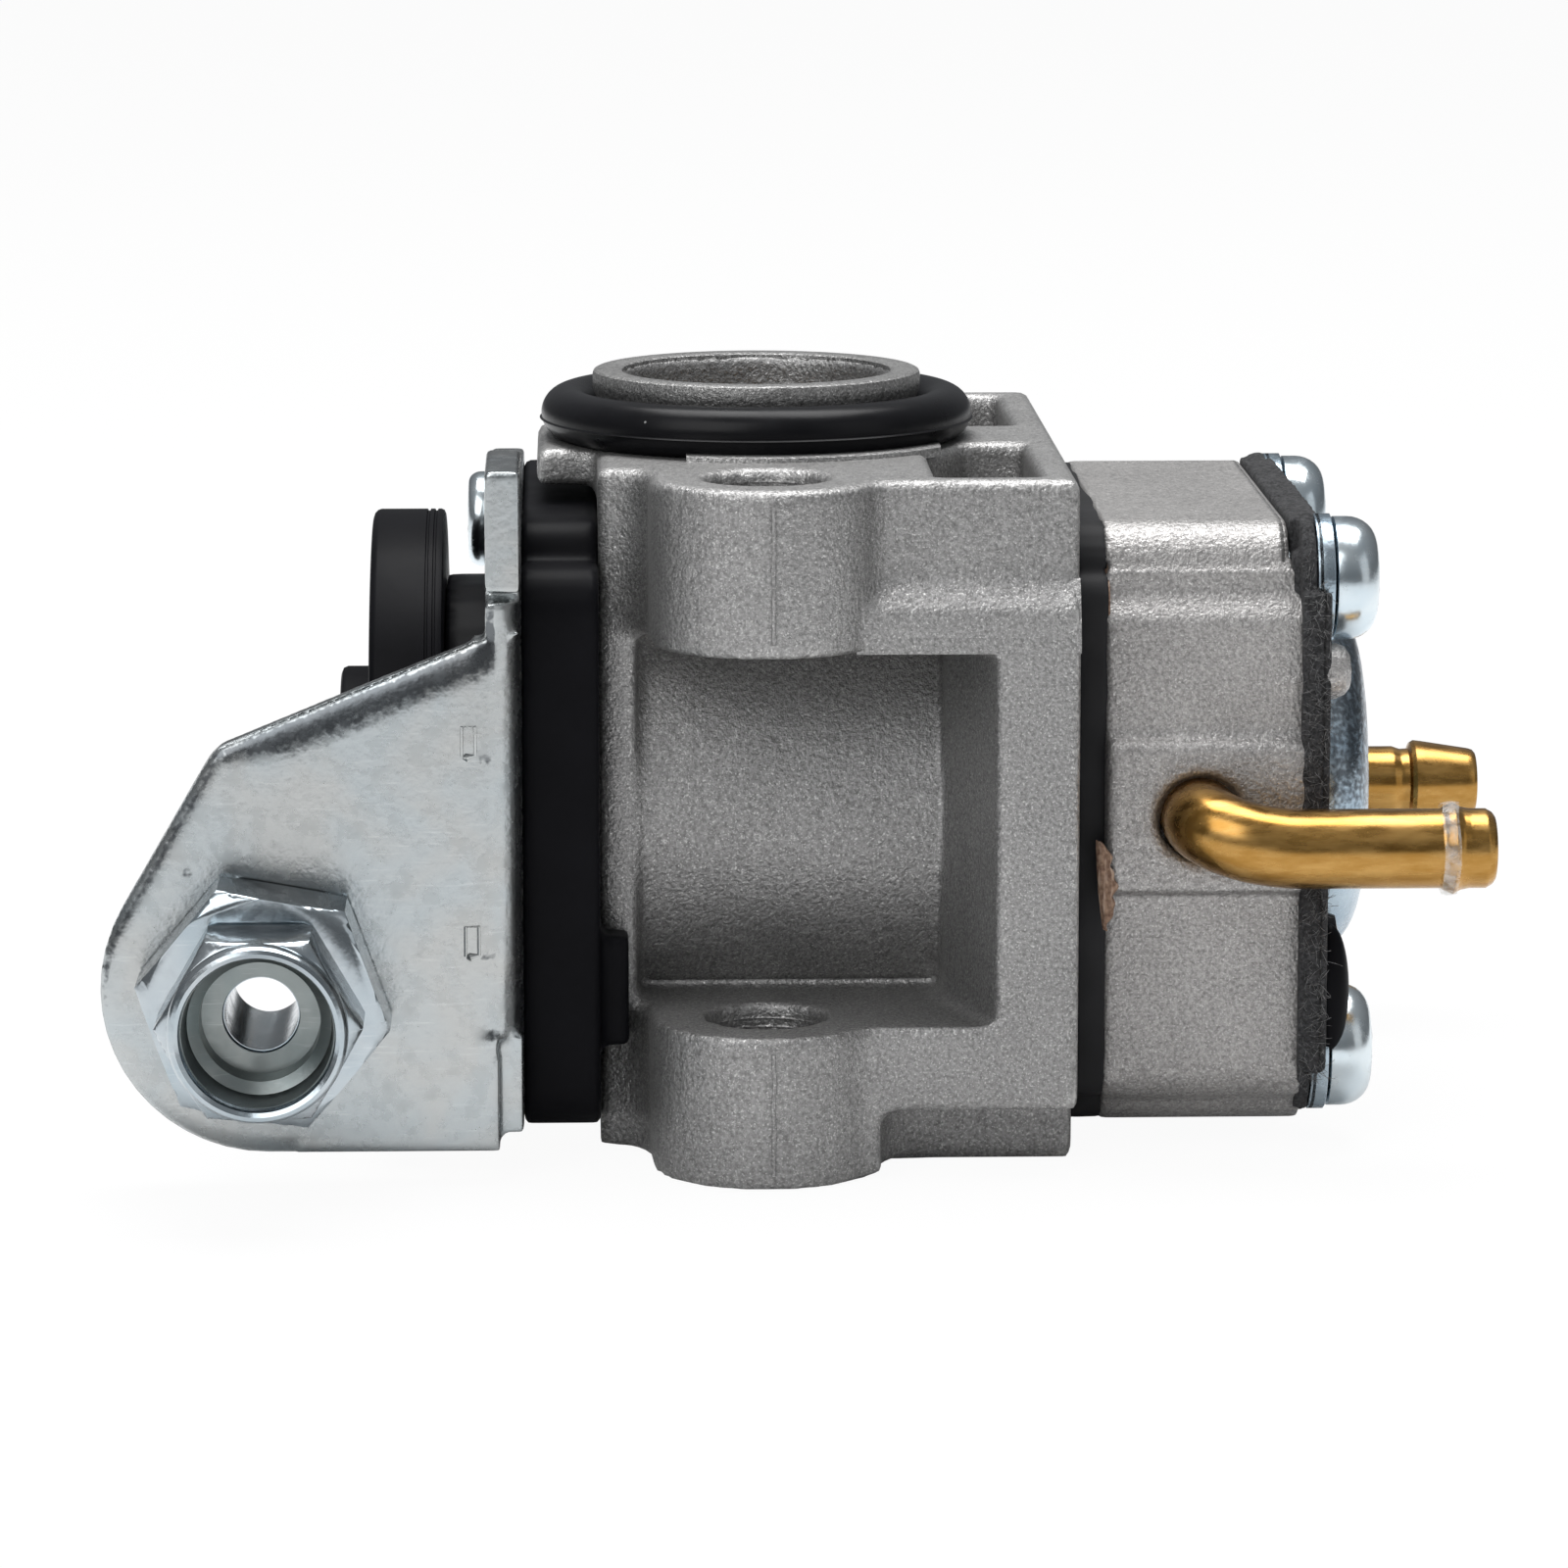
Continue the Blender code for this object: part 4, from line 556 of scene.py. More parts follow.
def plated_finish(name, cool, warm, roughness, skin):
    """Plated steel, darker where a piece marks its skin with a shade: painted dark reflection along the
    bracket's rolled edges and on the lid's top, and dark spots on the bracket.
    """
    material, tree, shader, at = new_finish(name)
    stain = use(tree, "stain", {"Vector": at})
    tinted = blended(tree, stain["Tint"], (*cool, 1), (*warm, 1))
    smudged = blended(tree, times(tree, stain["Smudge"], 0.1), tinted, (0.36, 0.38, 0.38, 1))
    marked = blended(tree, times(tree, stain["Scratches"], 0.12), smudged, (0.85, 0.87, 0.88, 1))
    # Painted dark reflection: the shade attribute, broken up by the dimples, mixes in a near-black colour.
    shade = place(tree, "ShaderNodeAttribute", attribute_name="shade").outputs["Fac"]
    broken = times(tree, maths(tree, "SUBTRACT", stain["Height"], 0.5), 0.9)
    dark = scaled(tree, maths(tree, "ADD", shade, broken), 0.12, 0.42, 0, 0.8)
    painted_reflection_mask = times(tree, dark, maths(tree, "GREATER_THAN", shade, 0.01))
    with_painted_reflection = blended(tree, painted_reflection_mask, marked, (0.06, 0.066, 0.075, 1))
    rough = scaled(tree, stain["Smudge"], 0, 1, roughness, roughness + 0.12)
    feed(tree, shader, {"Base Color": with_painted_reflection, "Roughness": rough, "Metallic": 1.0})
    bump(tree, shader, stain["Height"], skin, 0.00002)
    return material


def brass_finish():
    material, tree, shader, at = new_finish("turned brass")
    streaks = mottled(tree, stretched(tree, at, (0.25, 1.0, 1.0)), 1800.0, 3.0, 0.6)
    tarnish = scaled(tree, mottled(tree, at, 420.0, 3.0), 0.56, 0.75, 0, 0.55)
    streaked = scaled(tree, streaks, 0.35, 0.65)
    gold = blended(tree, streaked, (0.335, 0.176, 0.042, 1), (0.455, 0.266, 0.084, 1))
    brown = blended(tree, tarnish, gold, (0.33, 0.17, 0.05, 1))
    rough = scaled(tree, streaks, 0.3, 0.7, 0.2, 0.34)
    feed(tree, shader, {"Base Color": brown, "Roughness": rough, "Metallic": 1.0})
    bump(tree, shader, streaks, 0.12, 0.00002)
    return material


def black_finish(name, colour, roughness, dust, mottling, shine):
    """Moulded plastic or rubber with a faint skin and a little dust."""
    material, tree, shader, at = new_finish(name)
    skin = mottled(tree, at, 2600.0, 3.0)
    patches = mottled(tree, at, 240.0, 3.0)
    specks = use(tree, "dust", {"Vector": at, "Amount": dust})["Mask"]
    paler = tuple(value * (1 + mottling) for value in colour)
    shade = blended(tree, scaled(tree, patches, 0.35, 0.7), (*colour, 1), (*paler, 1))
    dusty = blended(tree, times(tree, specks, 0.7), shade, (0.4, 0.4, 0.4, 1))
    rough = scaled(tree, patches, 0.3, 0.75, roughness, roughness + 0.14)
    feed(tree, shader, {"Base Color": dusty, "Roughness": rough, "Specular IOR Level": shine})
    bump(tree, shader, skin, 0.18, 0.00003)
    return material


def felt_finish(name, dark, light):
    material, tree, shader, at = new_finish(name)
    fibres = mottled(tree, at, 5200.0, 4.0, 0.75)
    clumps = mottled(tree, at, 1300.0, 2.0)
    shade = blended(tree, scaled(tree, fibres, 0.4, 0.72), (*dark, 1), (*light, 1))
    feed(tree, shader, {"Base Color": shade, "Roughness": 0.95})
    bump(tree, shader, maths(tree, "ADD", fibres, clumps), 0.9, 0.00012)
    return material


def film_finish():
    """The cloth of the pump's diaphragm: a tan weave with pale strands."""
    material, tree, shader, at = new_finish("diaphragm film")
    weave = scaled(tree, mottled(tree, at, 3800.0, 3.0), 0.35, 0.7)
    strands = mottled(tree, stretched(tree, at, (1.0, 1.0, 0.15)), 5200.0, 2.0)
    tan = blended(tree, weave, (0.13, 0.07, 0.045, 1), (0.34, 0.225, 0.155, 1))
    pale = blended(tree, scaled(tree, strands, 0.54, 0.72, 0, 0.7), tan, (0.56, 0.43, 0.34, 1))
    feed(tree, shader, {"Base Color": pale, "Roughness": 0.85})
    bump(tree, shader, strands, 0.8, 0.00008)
    return material


def clear_finish():
    """The clear film ring round the pipe's bead."""
    material, tree, shader, at = new_finish("clear film")
    wrinkles = mottled(tree, at, 2200.0, 2.0)
    sheer = scaled(tree, wrinkles, 0.3, 0.7, 0.04, 0.26)
    feed(tree, shader, {"Base Color": (0.8, 0.78, 0.75, 1), "Roughness": 0.12, "Alpha": sheer})
    bump(tree, shader, wrinkles, 0.3, 0.00004)
    return material


CAST_GRAIN = 5600.0
CAST = cast_finish("cast aluminium", (0.168, 0.166, 0.164), (0.405, 0.4, 0.396), CAST_GRAIN)
# A darker copy of the cast aluminium for the spigot's rim: painted shade on its walls.
SPIGOT_CAST_PAINTED_SHADE = cast_finish("cast aluminium, spigot, painted shade", (0.12, 0.119, 0.117), (0.33, 0.327, 0.323), CAST_GRAIN)
PUMP_CAST = cast_finish("cast aluminium, pump side", (0.205, 0.199, 0.195), (0.47, 0.457, 0.448), CAST_GRAIN)
ZINC = plated_finish("zinc plate", (0.408, 0.44, 0.453), (0.428, 0.437, 0.433), 0.23, 0.5)
BLUE_ZINC = plated_finish("blue zinc plate", (0.50, 0.59, 0.65), (0.62, 0.68, 0.71), 0.2, 0.15)
LID_ZINC = plated_finish("blue zinc lid", (0.29, 0.375, 0.45), (0.4, 0.475, 0.53), 0.26, 1.0)
BRIGHT = plated_finish("bright plated nut", (0.36, 0.415, 0.45), (0.45, 0.485, 0.51), 0.16, 0.2)
DULL = plated_finish("dull plated bore", (0.2, 0.23, 0.23), (0.27, 0.29, 0.285), 0.3, 0.2)
STEEL = plated_finish("plain steel", (0.42, 0.42, 0.42), (0.56, 0.55, 0.53), 0.3, 0.3)
BRASS = brass_finish()
PLASTIC = black_finish("black plastic", (0.004, 0.004, 0.005), 0.4, 0.07, 0.5, 0.05)
RUBBER = black_finish("black rubber", (0.005, 0.005, 0.006), 0.24, 0.05, 0.6, 0.13)
GASKET = black_finish("gasket rubber", (0.014, 0.014, 0.015), 0.55, 0.05, 0.8, 0.15)
FELT = felt_finish("gasket felt", (0.012, 0.012, 0.013), (0.075, 0.075, 0.078))
LINT = felt_finish("loose felt hair", (0.05, 0.05, 0.052), (0.3, 0.3, 0.3))
FILM = film_finish()
CLEAR = clear_finish()

# Body casting: the two bolt bosses of each side and the walls they stand on
BOSS_Y = 15.5
BOSS_R = 5.3
UPPER_BOSS = (9.0, 16.2)
LOWER_BOSS = (-15.3, -8.7)
FLANGE_WALL = 17.3
FRAME_WALL = 18.5
BAND_WALL = 14.8
BAND_TOP = -12.6
CORNER_Y = 12.6
CORNER_SINK = 0.4
UPPER_FILLET = 1.2
UPPER_FILLET_FOOT = 11.0
LOWER_FILLET = 1.7
BAND_FILLET = 3.2
LEFT_FILLET = 2.1
ARC_STEPS = 8

# Barrel housing in the recess: points of the skin this near to its radius are laid on it
HOUSING_R = 12.2
HOUSING_NEAR = 0.25
HOUSING_FOOT = -8.6
RECESS = (-5.5, 8.4)

# Ledges along the flange: how round their backs are, from a plain slope at 0 to a full round at 1
LEDGE_X = (4.0, 14.14)
LEDGE_ROUND = (9.3, 11.95)
LEDGE_PROUD = 0.03
LEDGE_BULGE = 0.4
LEDGE_FOOT = 0.6
LEDGE_SINK = 0.5
LEDGE_STEPS = 20

# Parting lines down the bosses and tool marks in their holes
RIDGE_X = 0.2
RIDGE_HALF = 0.1
RIDGE_PROUD = 0.09
RIDGE_END = 0.5
RIDGE_WANDER = 0.05
RIDGE_STEPS = 24
HOLE_R = 2.78
HOLE_MARKS = ((9.6, 16.0), (-15.0, -8.9))
MARK_PITCH = 0.4
MARK_DEPTH = 0.09
MARK_FOOT = 0.02
MARK_BACK = 0.1


def fillet_wedge(side, wall, radius, heights):
    """The metal in the corner between a round boss and the flat wall beside it, with a hollow face."""
    gap = wall - BOSS_Y
    reach = BOSS_R + radius
    centre = Vector((math.sqrt(reach**2 - (gap + radius) ** 2), gap + radius))
    to_boss = -centre.normalized() * radius
    turn = to_boss.angle_signed(Vector((0, -radius)))
    arc = [centre + Matrix.Rotation(t, 2) @ to_boss for t in evenly(0, -turn, ARC_STEPS)]
    inside = [Vector((centre.x, gap - radius)), Vector((centre.x - 2 * radius, gap - radius))]
    return prism("z", [(p.x, side * (BOSS_Y + p.y)) for p in arc + inside], *heights)


def corner_wedge(side, radius, heights):
    """The metal in the square corner left of a boss, with a hollow face."""
    centre = Vector((-BOSS_R - radius, CORNER_Y + radius))
    turns = evenly(0, QUARTER, ARC_STEPS)
    arc = [centre + radius * Vector((math.sin(t), -math.cos(t))) for t in turns]
    x = CORNER_SINK - BOSS_R
    y = CORNER_Y - CORNER_SINK
    inside = [Vector((x, arc[-1].y)), Vector((x, y)), Vector((arc[0].x, y))]
    return prism("z", [(p.x, side * p.y) for p in arc + inside], *heights)


def cast_body():
    shapes = [cad_copy("carburetor_body")]
    for side in SIDES:
        shapes.append(fillet_wedge(side, FLANGE_WALL, UPPER_FILLET, (UPPER_FILLET_FOOT, UPPER_BOSS[1])))
        shapes.append(fillet_wedge(side, FRAME_WALL, LOWER_FILLET, LOWER_BOSS))
        shapes.append(fillet_wedge(side, BAND_WALL, BAND_FILLET, (LOWER_BOSS[0], BAND_TOP)))
        shapes.append(corner_wedge(side, LEFT_FILLET, UPPER_BOSS))
        shapes.append(corner_wedge(side, LEFT_FILLET, LOWER_BOSS))
    body = remeshed(joined(*shapes), BODY_SKIN)
    for vert in body.verts:
        x, y, z = vert.co
        away = math.hypot(y, z)
        if RECESS[0] < x < RECESS[1] and HOUSING_FOOT < z and abs(away - HOUSING_R) < HOUSING_NEAR:
            vert.co.yz = Vector((y, z)) * HOUSING_R / away
    piece("cast_body", body, CAST, "body", ["carburetor_body"], BODY_SKIN)


def ledges():
    """The ledges along the flange: a round back that meets the flange's wall in a sharp corner."""
    low, high = LEDGE_ROUND
    deep = FRAME_WALL - FLANGE_WALL + LEDGE_PROUD
    straight = 1 - LEDGE_BULGE
    arc = []
    for turn, share in zip(evenly(0, QUARTER, LEDGE_STEPS), evenly(0, 1, LEDGE_STEPS)):
        out = LEDGE_BULGE * math.cos(turn) + straight * (1 - share)
        rise = LEDGE_BULGE * math.sin(turn) + straight * share
        arc.append((FLANGE_WALL + deep * out, low + (high - low) * rise))
    foot = low - LEDGE_FOOT
    sunk = FLANGE_WALL - LEDGE_SINK
    points = [(FLANGE_WALL + deep, foot), *arc, (sunk, high), (sunk, foot)]
    shapes = [prism("x", [(side * y, z) for y, z in points], *LEDGE_X) for side in SIDES]
    piece("flange_ledges", joined(*shapes), CAST, "body")


def parting_ridges():
    """The thin line of flash that the halves of the mould leave down each boss."""
    front = math.sqrt(BOSS_R**2 - RIDGE_X**2)
    strips = []
    for side in SIDES:
        for low, high in (UPPER_BOSS, LOWER_BOSS):
            path = []
            radii = []
            for height in evenly(low + RIDGE_END, high - RIDGE_END, RIDGE_STEPS):
                wander = RIDGE_WANDER * noise.noise(Vector((height * 0.9, side, 0)))
                swell = noise.noise(Vector((height * 2.3, side * 3, 7)))
                path.append(Vector((RIDGE_X + wander, side * (BOSS_Y + front), height)))
                radii.append(RIDGE_HALF + RIDGE_PROUD * max(0, swell))
            strips.append(sweep(path, radii, 8, Vector((1, 0, 0))))
    piece("parting_ridges", joined(*strips), CAST, "body")


def bolt_hole_rings():
    """Tool marks in the bolt holes: a stack of fine rings on each wall."""
    shapes = []
    for side in SIDES:
        for low, high in HOLE_MARKS:
            count = int((high - low) / MARK_PITCH)
            profile = []
            for step in range(count):
                base = low + MARK_PITCH * step
                profile += [(base, HOLE_R - MARK_FOOT), (base + MARK_PITCH / 2, HOLE_R - MARK_DEPTH)]
            top = low + MARK_PITCH * count
            profile += [(top, HOLE_R - MARK_FOOT), (top, HOLE_R + MARK_BACK), (low, HOLE_R + MARK_BACK)]
            shapes.append(lathe("z", (0, side * BOSS_Y), profile, SMALL))
    piece("bolt_hole_rings", joined(*shapes), CAST, "body")


# Pump casting: the near elbow's pad, raised from the CAD pad that it takes the place of
PAD_LOW = (15.65, -14.68, -3.1)
PAD_HIGH = (24.6, -13.4, 3.95)
CAD_PAD = ((15.0, -15.68, -4.4), (25.0, -14.02, 3.2))
ROOT_AT = (20.0, 0.4)
ROOT_HOLE_R = 2.0
STACK_FOOT = -11.5
STACK_DROP = 0.7
STACK_FADE = 1.5
SHOULDER = (9.2, 10.9, 12.4)
SHOULDER_Y = 13.1
SHOULDER_STEP = 0.9
FACE_X = 24.0
FACE_OUT = 0.5
FACE_LEAN = 0.85
PEG_AT = (-13.4, 7.05)
PEG_PROFILE = ((25.2, 0), (25.2, 1.25), (26.2, 1.28), (26.6, 1.12), (26.85, 0.72), (26.95, 0))


def lengthened(shape):
    """The pump side's layers reach a little lower than their solids."""
    for vert in shape.verts:
        vert.co.z -= STACK_DROP * held((STACK_FOOT - vert.co.z) / STACK_FADE)
    return shape


def pump_side_casting():
    """The casting with its pad, a soft shoulder on its raised sides and an outer face set back at its top."""
    hole = rod("y", ROOT_AT, PAD_LOW[1] - 1, PAD_HIGH[1] + 1, ROOT_HOLE_R, SMALL)
    pad = carved(box_shape(PAD_LOW, PAD_HIGH), hole)
    block = carved(cad_copy("pump_casting"), box_shape(*CAD_PAD))
    body = lengthened(remeshed(joined(block, pad), CASTING_SKIN))
    foot, middle, top = SHOULDER
    for vert in body.verts:
        z = vert.co.z
        if foot < z < top:
            proud = SHOULDER_Y + SHOULDER_STEP * eased((middle - z) / (middle - foot))
            vert.co.y = max(-proud, min(proud, vert.co.y))
        if vert.co.x > FACE_X:
            vert.co.x += FACE_OUT - FACE_LEAN * eased((z - middle) / (top - middle))
    peg = lathe("x", PEG_AT, PEG_PROFILE, SMALL)
    piece("peened_peg", peg, PUMP_CAST, "body")
    piece("pump_side_casting", body, PUMP_CAST, "body", ["pump_casting"], CASTING_SKIN)


# Spigot: its rim and the land of the ring as (height, radius), and the ring's seam
RIM_INNER = ((13.0, 6.34), (19.36, 6.34), (19.5, 6.38), (19.56, 6.5))
RIM_OUTER = ((19.56, 7.6), (19.5, 7.71), (19.36, 7.76), (18.7, 7.76), (18.2, 7.56), (16.3, 7.56))
RIM_BACK = ((16.3, 7.0), (13.0, 7.0))
LAND_PROFILE = ((16.2, 7.4), (16.66, 7.4), (16.66, 10.6), (16.6, 10.75), (16.2, 10.85))
LAND_X = (-3.5, 8.4)
LAND_Z = (15, 18)
LAND_FAR = 20
RING_SINK = 0.27
RING_STEPS = 48
SEAM_AT = math.radians(-10)
SEAM_WIDE = math.radians(2.5)
SEAM_PROUD = 0.1


def spigot():
    """The spigot's turned rim, the land round its foot, and the sealing ring with the seam of its mould."""
    rim = lathe("z", MIDDLE, RIM_INNER + RIM_OUTER + RIM_BACK, FINEST)
    # The rim's darker cast finish is painted shade.
    piece("spigot_rim", rim, SPIGOT_CAST_PAINTED_SHADE, "body")
    left = box_shape((-LAND_FAR, -LAND_FAR, LAND_Z[0]), (LAND_X[0], LAND_FAR, LAND_Z[1]))
    right = box_shape((LAND_X[1], -LAND_FAR, LAND_Z[0]), (LAND_FAR, LAND_FAR, LAND_Z[1]))
    land = carved(lathe("z", MIDDLE, LAND_PROFILE, FINEST), left, right)
    piece("seal_land", land, CAST, "body")
    low, high = span("spigot_o_ring")
    section = (high.z - low.z) / 2
    middle = (high.x - low.x) / 2 - section
    level = (low.z + high.z) / 2 - RING_SINK
    turns = [(turn, 0) for turn in evenly(-math.pi, math.pi, RING_STEPS)[:-1]]
    turns += [(SEAM_AT - SEAM_WIDE, 0), (SEAM_AT, SEAM_PROUD), (SEAM_AT + SEAM_WIDE, 0)]
    profile = []
    for turn, proud in sorted(turns):
        reach = section + proud
        profile.append((level + reach * math.sin(turn), middle + reach * math.cos(turn)))
    ring = lathe("z", MIDDLE, profile, FINEST)
    piece("sealing_ring", ring, RUBBER, "body", ["spigot_o_ring"])


# Cable bracket: the wing that carries the cable adjuster, and the bend to its plate
CABLE_AT = joint_place("adjuster_turn").xz
SHEET = 1.6
WING_FRONT = -19.0
WING_BACK = WING_FRONT + SHEET
WING_RIGHT = -11.9
WING_SKIN = 0.25
WING_SLOPE = (Vector((-12.8, 9.5)), Vector((-24.9, 4.6)))
WING_ARC_R = 7.5
WING_ARC = (158, 280)
BEND_AT = (-13.3, -16.8)
BEND_R = 2.2
BEND_BACK = 0.3
BEND_EDGE = -12.7
BEND_INNER = 0.6
BEND_LOW = 8.0
BEND_STEP = 9.4
CREST = ((-24.6, 4.7), (-22.0, 4.0), (BEND_AT[0], 6.0), (BEND_AT[0], 9.3), (-17.3, 7.7))
SLIT = (11.15, 11.55)
SLIT_X = (-13.2, -10.95)
SLIT_LOW = 9.7
SLIT_DEEP = 0.9
STRIP_FRONT = -18.2
STRIP_RIGHT = -11.1
NOTCH = (-9.9, -8.7)
NOTCH_X = (-13.6, -12.25)

# Rolled edges of the wing: the roll's depth, its reach and the width of its band of painted dark reflection
SLOPE_ROLL = (0.32, 1.9, 1.75)
ARC_ROLL = (0.2, 0.8, 0.55)
# KNEE_FADE blends the slope's roll into the arc's near the knee; the arc's painted dark band narrows over
# ARC_RUN down to ARC_FADE, where it keeps ARC_LEAST of its width; BRIGHT_EDGE is the strip along the very
# edge that the painted band leaves out, and EDGE_BLEND its blend.
KNEE_FADE = 3.5
ARC_FADE = -9.5
ARC_RUN = 5
ARC_LEAST = 0.05
BRIGHT_EDGE = 0.1
EDGE_BLEND = 0.25

# Punch marks beside the bend, and dark spots as (x, z, size)
DENTS = ((-13.48, 4.9), (-13.38, -4.25))
DENT_HALF = (0.3, 0.68)
TICK_R = 0.08
TICK_PROUD = 0.02
BURR = (Vector((0.05, 0, -0.03)), Vector((0.2, -0.02, -0.05)))
BURR_R = 2.6 * TICK_R
SPOTS = ((-12.65, 4.1, 0.5), (-12.6, -4.95, 0.45), (-12.5, -8.6, 0.45), (-26.1, -1.1, 0.4))
SPOT_SHADE = 0.45
SPOT_FLAT = 1.8


def away_from_line(point, first, second):
    along = second - first
    return (point - first - held((point - first).dot(along) / along.length_squared) * along).length


def rolled_edge(x, z):
    """How far a point of the wing lies from its sheared outline, with the roll's depth and reach at that
    point and the width of its painted dark reflection.
    """
    point = Vector((x, z))
    arm = point - CABLE_AT
    turn = math.degrees(math.atan2(arm.y, arm.x)) % 360
    tangent = Vector(on_circle(CABLE_AT, WING_ARC_R, math.radians(WING_ARC[0])))
    slope = away_from_line(point, *WING_SLOPE)
    side = away_from_line(point, WING_SLOPE[1], tangent)
    if WING_ARC[0] < turn < WING_ARC[1]:
        side = min(side, abs(WING_ARC_R - arm.length))
    if slope > side:
        depth, reach, width = ARC_ROLL
        return side, depth, reach, width * max(ARC_LEAST, min(1.0, (z - ARC_FADE) / ARC_RUN))
    share = min(1.0, (point - WING_SLOPE[1]).length / KNEE_FADE)
    return slope, *[b + (a - b) * share for a, b in zip(SLOPE_ROLL, ARC_ROLL)]


def bend_shape(start, low, high):
    """A length of the bend between wing and plate, from an angle of its outer face on."""
    outer = [on_circle(BEND_AT, BEND_R, math.radians(turn)) for turn in evenly(start, 0, 10)]
    back = BEND_AT[1] + BEND_BACK
    inner = max(outer[0][0], BEND_EDGE - BEND_INNER)
    return prism("z", [*outer, (outer[-1][0], back), (inner, back)], low, high)


def bracket():
    slit = box_shape((SLIT_X[0], WING_FRONT - 1, SLIT_LOW), (SLIT_X[1], STRIP_FRONT + SLIT_DEEP, SLIT[1]))
    top_turn = -math.degrees(math.acos((BEND_EDGE - BEND_AT[0]) / BEND_R))
    shapes = [
        carved(cad_copy("cable_bracket"), slit),
        prism("y", CREST, WING_FRONT, WING_BACK),
        bend_shape(-90, BEND_LOW, BEND_STEP),
        bend_shape(top_turn, BEND_LOW, SLIT[0]),
        box_shape((NOTCH_X[0], WING_FRONT, NOTCH[0]), (NOTCH_X[1], WING_BACK, NOTCH[1])),
        box_shape((BEND_EDGE, STRIP_FRONT, NOTCH[0]), (STRIP_RIGHT, STRIP_FRONT + SHEET, NOTCH[1])),
    ]
    shape = remeshed(joined(*shapes), SHEET_SKIN)
    # The shade attribute carries the painted dark reflection along the rolled edges and the dark spots.
    shade = shape.verts.layers.float.new("shade")
    for vert in shape.verts:
        x, y, z = vert.co
        if y > WING_FRONT + WING_SKIN or x > WING_RIGHT:
            continue
        away, depth, reach, width = rolled_edge(x, z)
        # Painted dark reflection: a band along the rolled edge, kept off the edge itself; the spots are dark
        # marks on the sheet.
        vert[shade] = held((away - BRIGHT_EDGE) / EDGE_BLEND) * max(0.0, 1 - away / width)
        for u, v, size in SPOTS:
            spot = SPOT_SHADE * (1 - math.hypot(x - u, (z - v) * SPOT_FLAT) / size)
            vert[shade] = max(vert[shade], spot)
        vert.co.y += depth * max(0.0, 1 - away / reach) ** 2
    piece("pressed_bracket", shape, ZINC, "body", ["cable_bracket"], SHEET_SKIN)


def punch_ticks():
    """The two small upright punch marks beside the bend, each with a burr at its foot."""
    wide, tall = DENT_HALF
    corners = [(-wide, -tall), (-wide, tall), (wide, tall), (wide, -tall * 0.9), (-wide * 0.4, -tall)]
    back = Vector((0, 1, 0))
    shapes = []
    for u, v in DENTS:
        path = [Vector((u + a, WING_FRONT - TICK_PROUD, v + b)) for a, b in corners]
        shapes.append(sweep(path, [TICK_R] * 4 + [2 * TICK_R], 8, back))
        foot = [*(path[0] + step for step in BURR), path[4]]
        shapes.append(sweep(foot, [TICK_R, BURR_R, TICK_R], 8, back))
    piece("punch_ticks", joined(*shapes), ZINC, "body")


# Cable adjuster and lock nut: profiles as (back from the front end, radius)
NUT_HEX = 10.0
NUT_TURN = math.radians(-10)
NUT_CHAMFERS = (0.4, 0.25)
NUT_BORE_R = 3.15
NUT_MOUTH_R = (3.75, 3.8)
NUT_SINK = 0.45
NUT_BEVEL = 0.1
HEX_STEPS = 12
CHAMFER_STEPS = 5
ADJUSTER_HEX = 8.0
ADJUSTER_TURN = 0.0
ADJUSTER_CHAMFERS = (0.62, 0.15)
HEX_FRONT = 0.8
HEX_GAP = 0.3
HEX_BEVEL = 0.09
HEX_LEAN = 45
SHANK_LAP = 0.2
CABLE_HOLE_R = 1.65
SHANK_R = 2.7
SHANK_TIP_R = 2.35
SHANK_TIP = 0.4
POCKET_FRONT = ((-1, 0), (-1, 3.5), (0.25, 3.42), (2.6, 3.25), (3.0, 2.75))
POCKET_BACK = ((4.5, 2.7), (4.6, 1.75), (4.9, CABLE_HOLE_R))
LIP_IN = ((1.5, 3.36), (0.35, 3.4), (0.12, 3.47), (0, 3.66))
LIP_OUT = ((0.06, 3.84), (0.22, 3.95), (0.45, 4.0), (1.5, 4.0))
LINING_IN = ((0.7, 3.36), (2.6, 3.2), (3.0, 2.7), (4.45, 2.65), (4.5, 1.74))
LINING_OUT = ((4.7, 1.74), (4.7, 2.85), (3.1, 2.9), (2.7, 3.4), (0.7, 3.5))


def chamfered_hex(axis, centre, flats, turned, low, high, chamfers, lean=30):
    """A hexagon bar turned down to a cone at its ends, over the lengths of its two chamfers."""
    start, end = chamfers
    corner = flats / math.sqrt(3)
    slope = math.tan(math.radians(lean))
    middle = Vector(centre)
    arms = [spot - middle for spot in hexagon(centre, flats, turned, HEX_STEPS)]
    shares = evenly(0, 1, CHAMFER_STEPS)
    limits = [(low + start * share, corner - start * (1 - share) / slope) for share in shares]
    limits += [(high - end * (1 - share), corner - end * share / slope) for share in shares]
    bm = bmesh.new()
    rings = []
    for along, limit in limits:
        spots = [middle + arm * min(1.0, limit / arm.length) for arm in arms]
        rings.append([bm.verts.new(put(axis, *spot, along)) for spot in spots])
    capped(bm, rings)
    bmesh.ops.remove_doubles(bm, verts=bm.verts, dist=WELD)
    bmesh.ops.recalc_face_normals(bm, faces=bm.faces)
    return bm


def lock_nut():
    low, high = span("adjuster_lock_nut")
    nut = chamfered_hex("y", CABLE_AT, NUT_HEX, NUT_TURN, low.y, high.y, NUT_CHAMFERS)
    bore = [(low.y - 1, 0), (low.y - 1, NUT_MOUTH_R[0]), (low.y + NUT_SINK, NUT_BORE_R)]
    bore += [(high.y - NUT_SINK, NUT_BORE_R), (high.y + 1, NUT_MOUTH_R[1]), (high.y + 1, 0)]
    nut = bevelled(carved(nut, lathe("y", CABLE_AT, bore, SMALL)), NUT_BEVEL)
    piece("hex_lock_nut", nut, BRIGHT, "lock_nut", ["adjuster_lock_nut"])


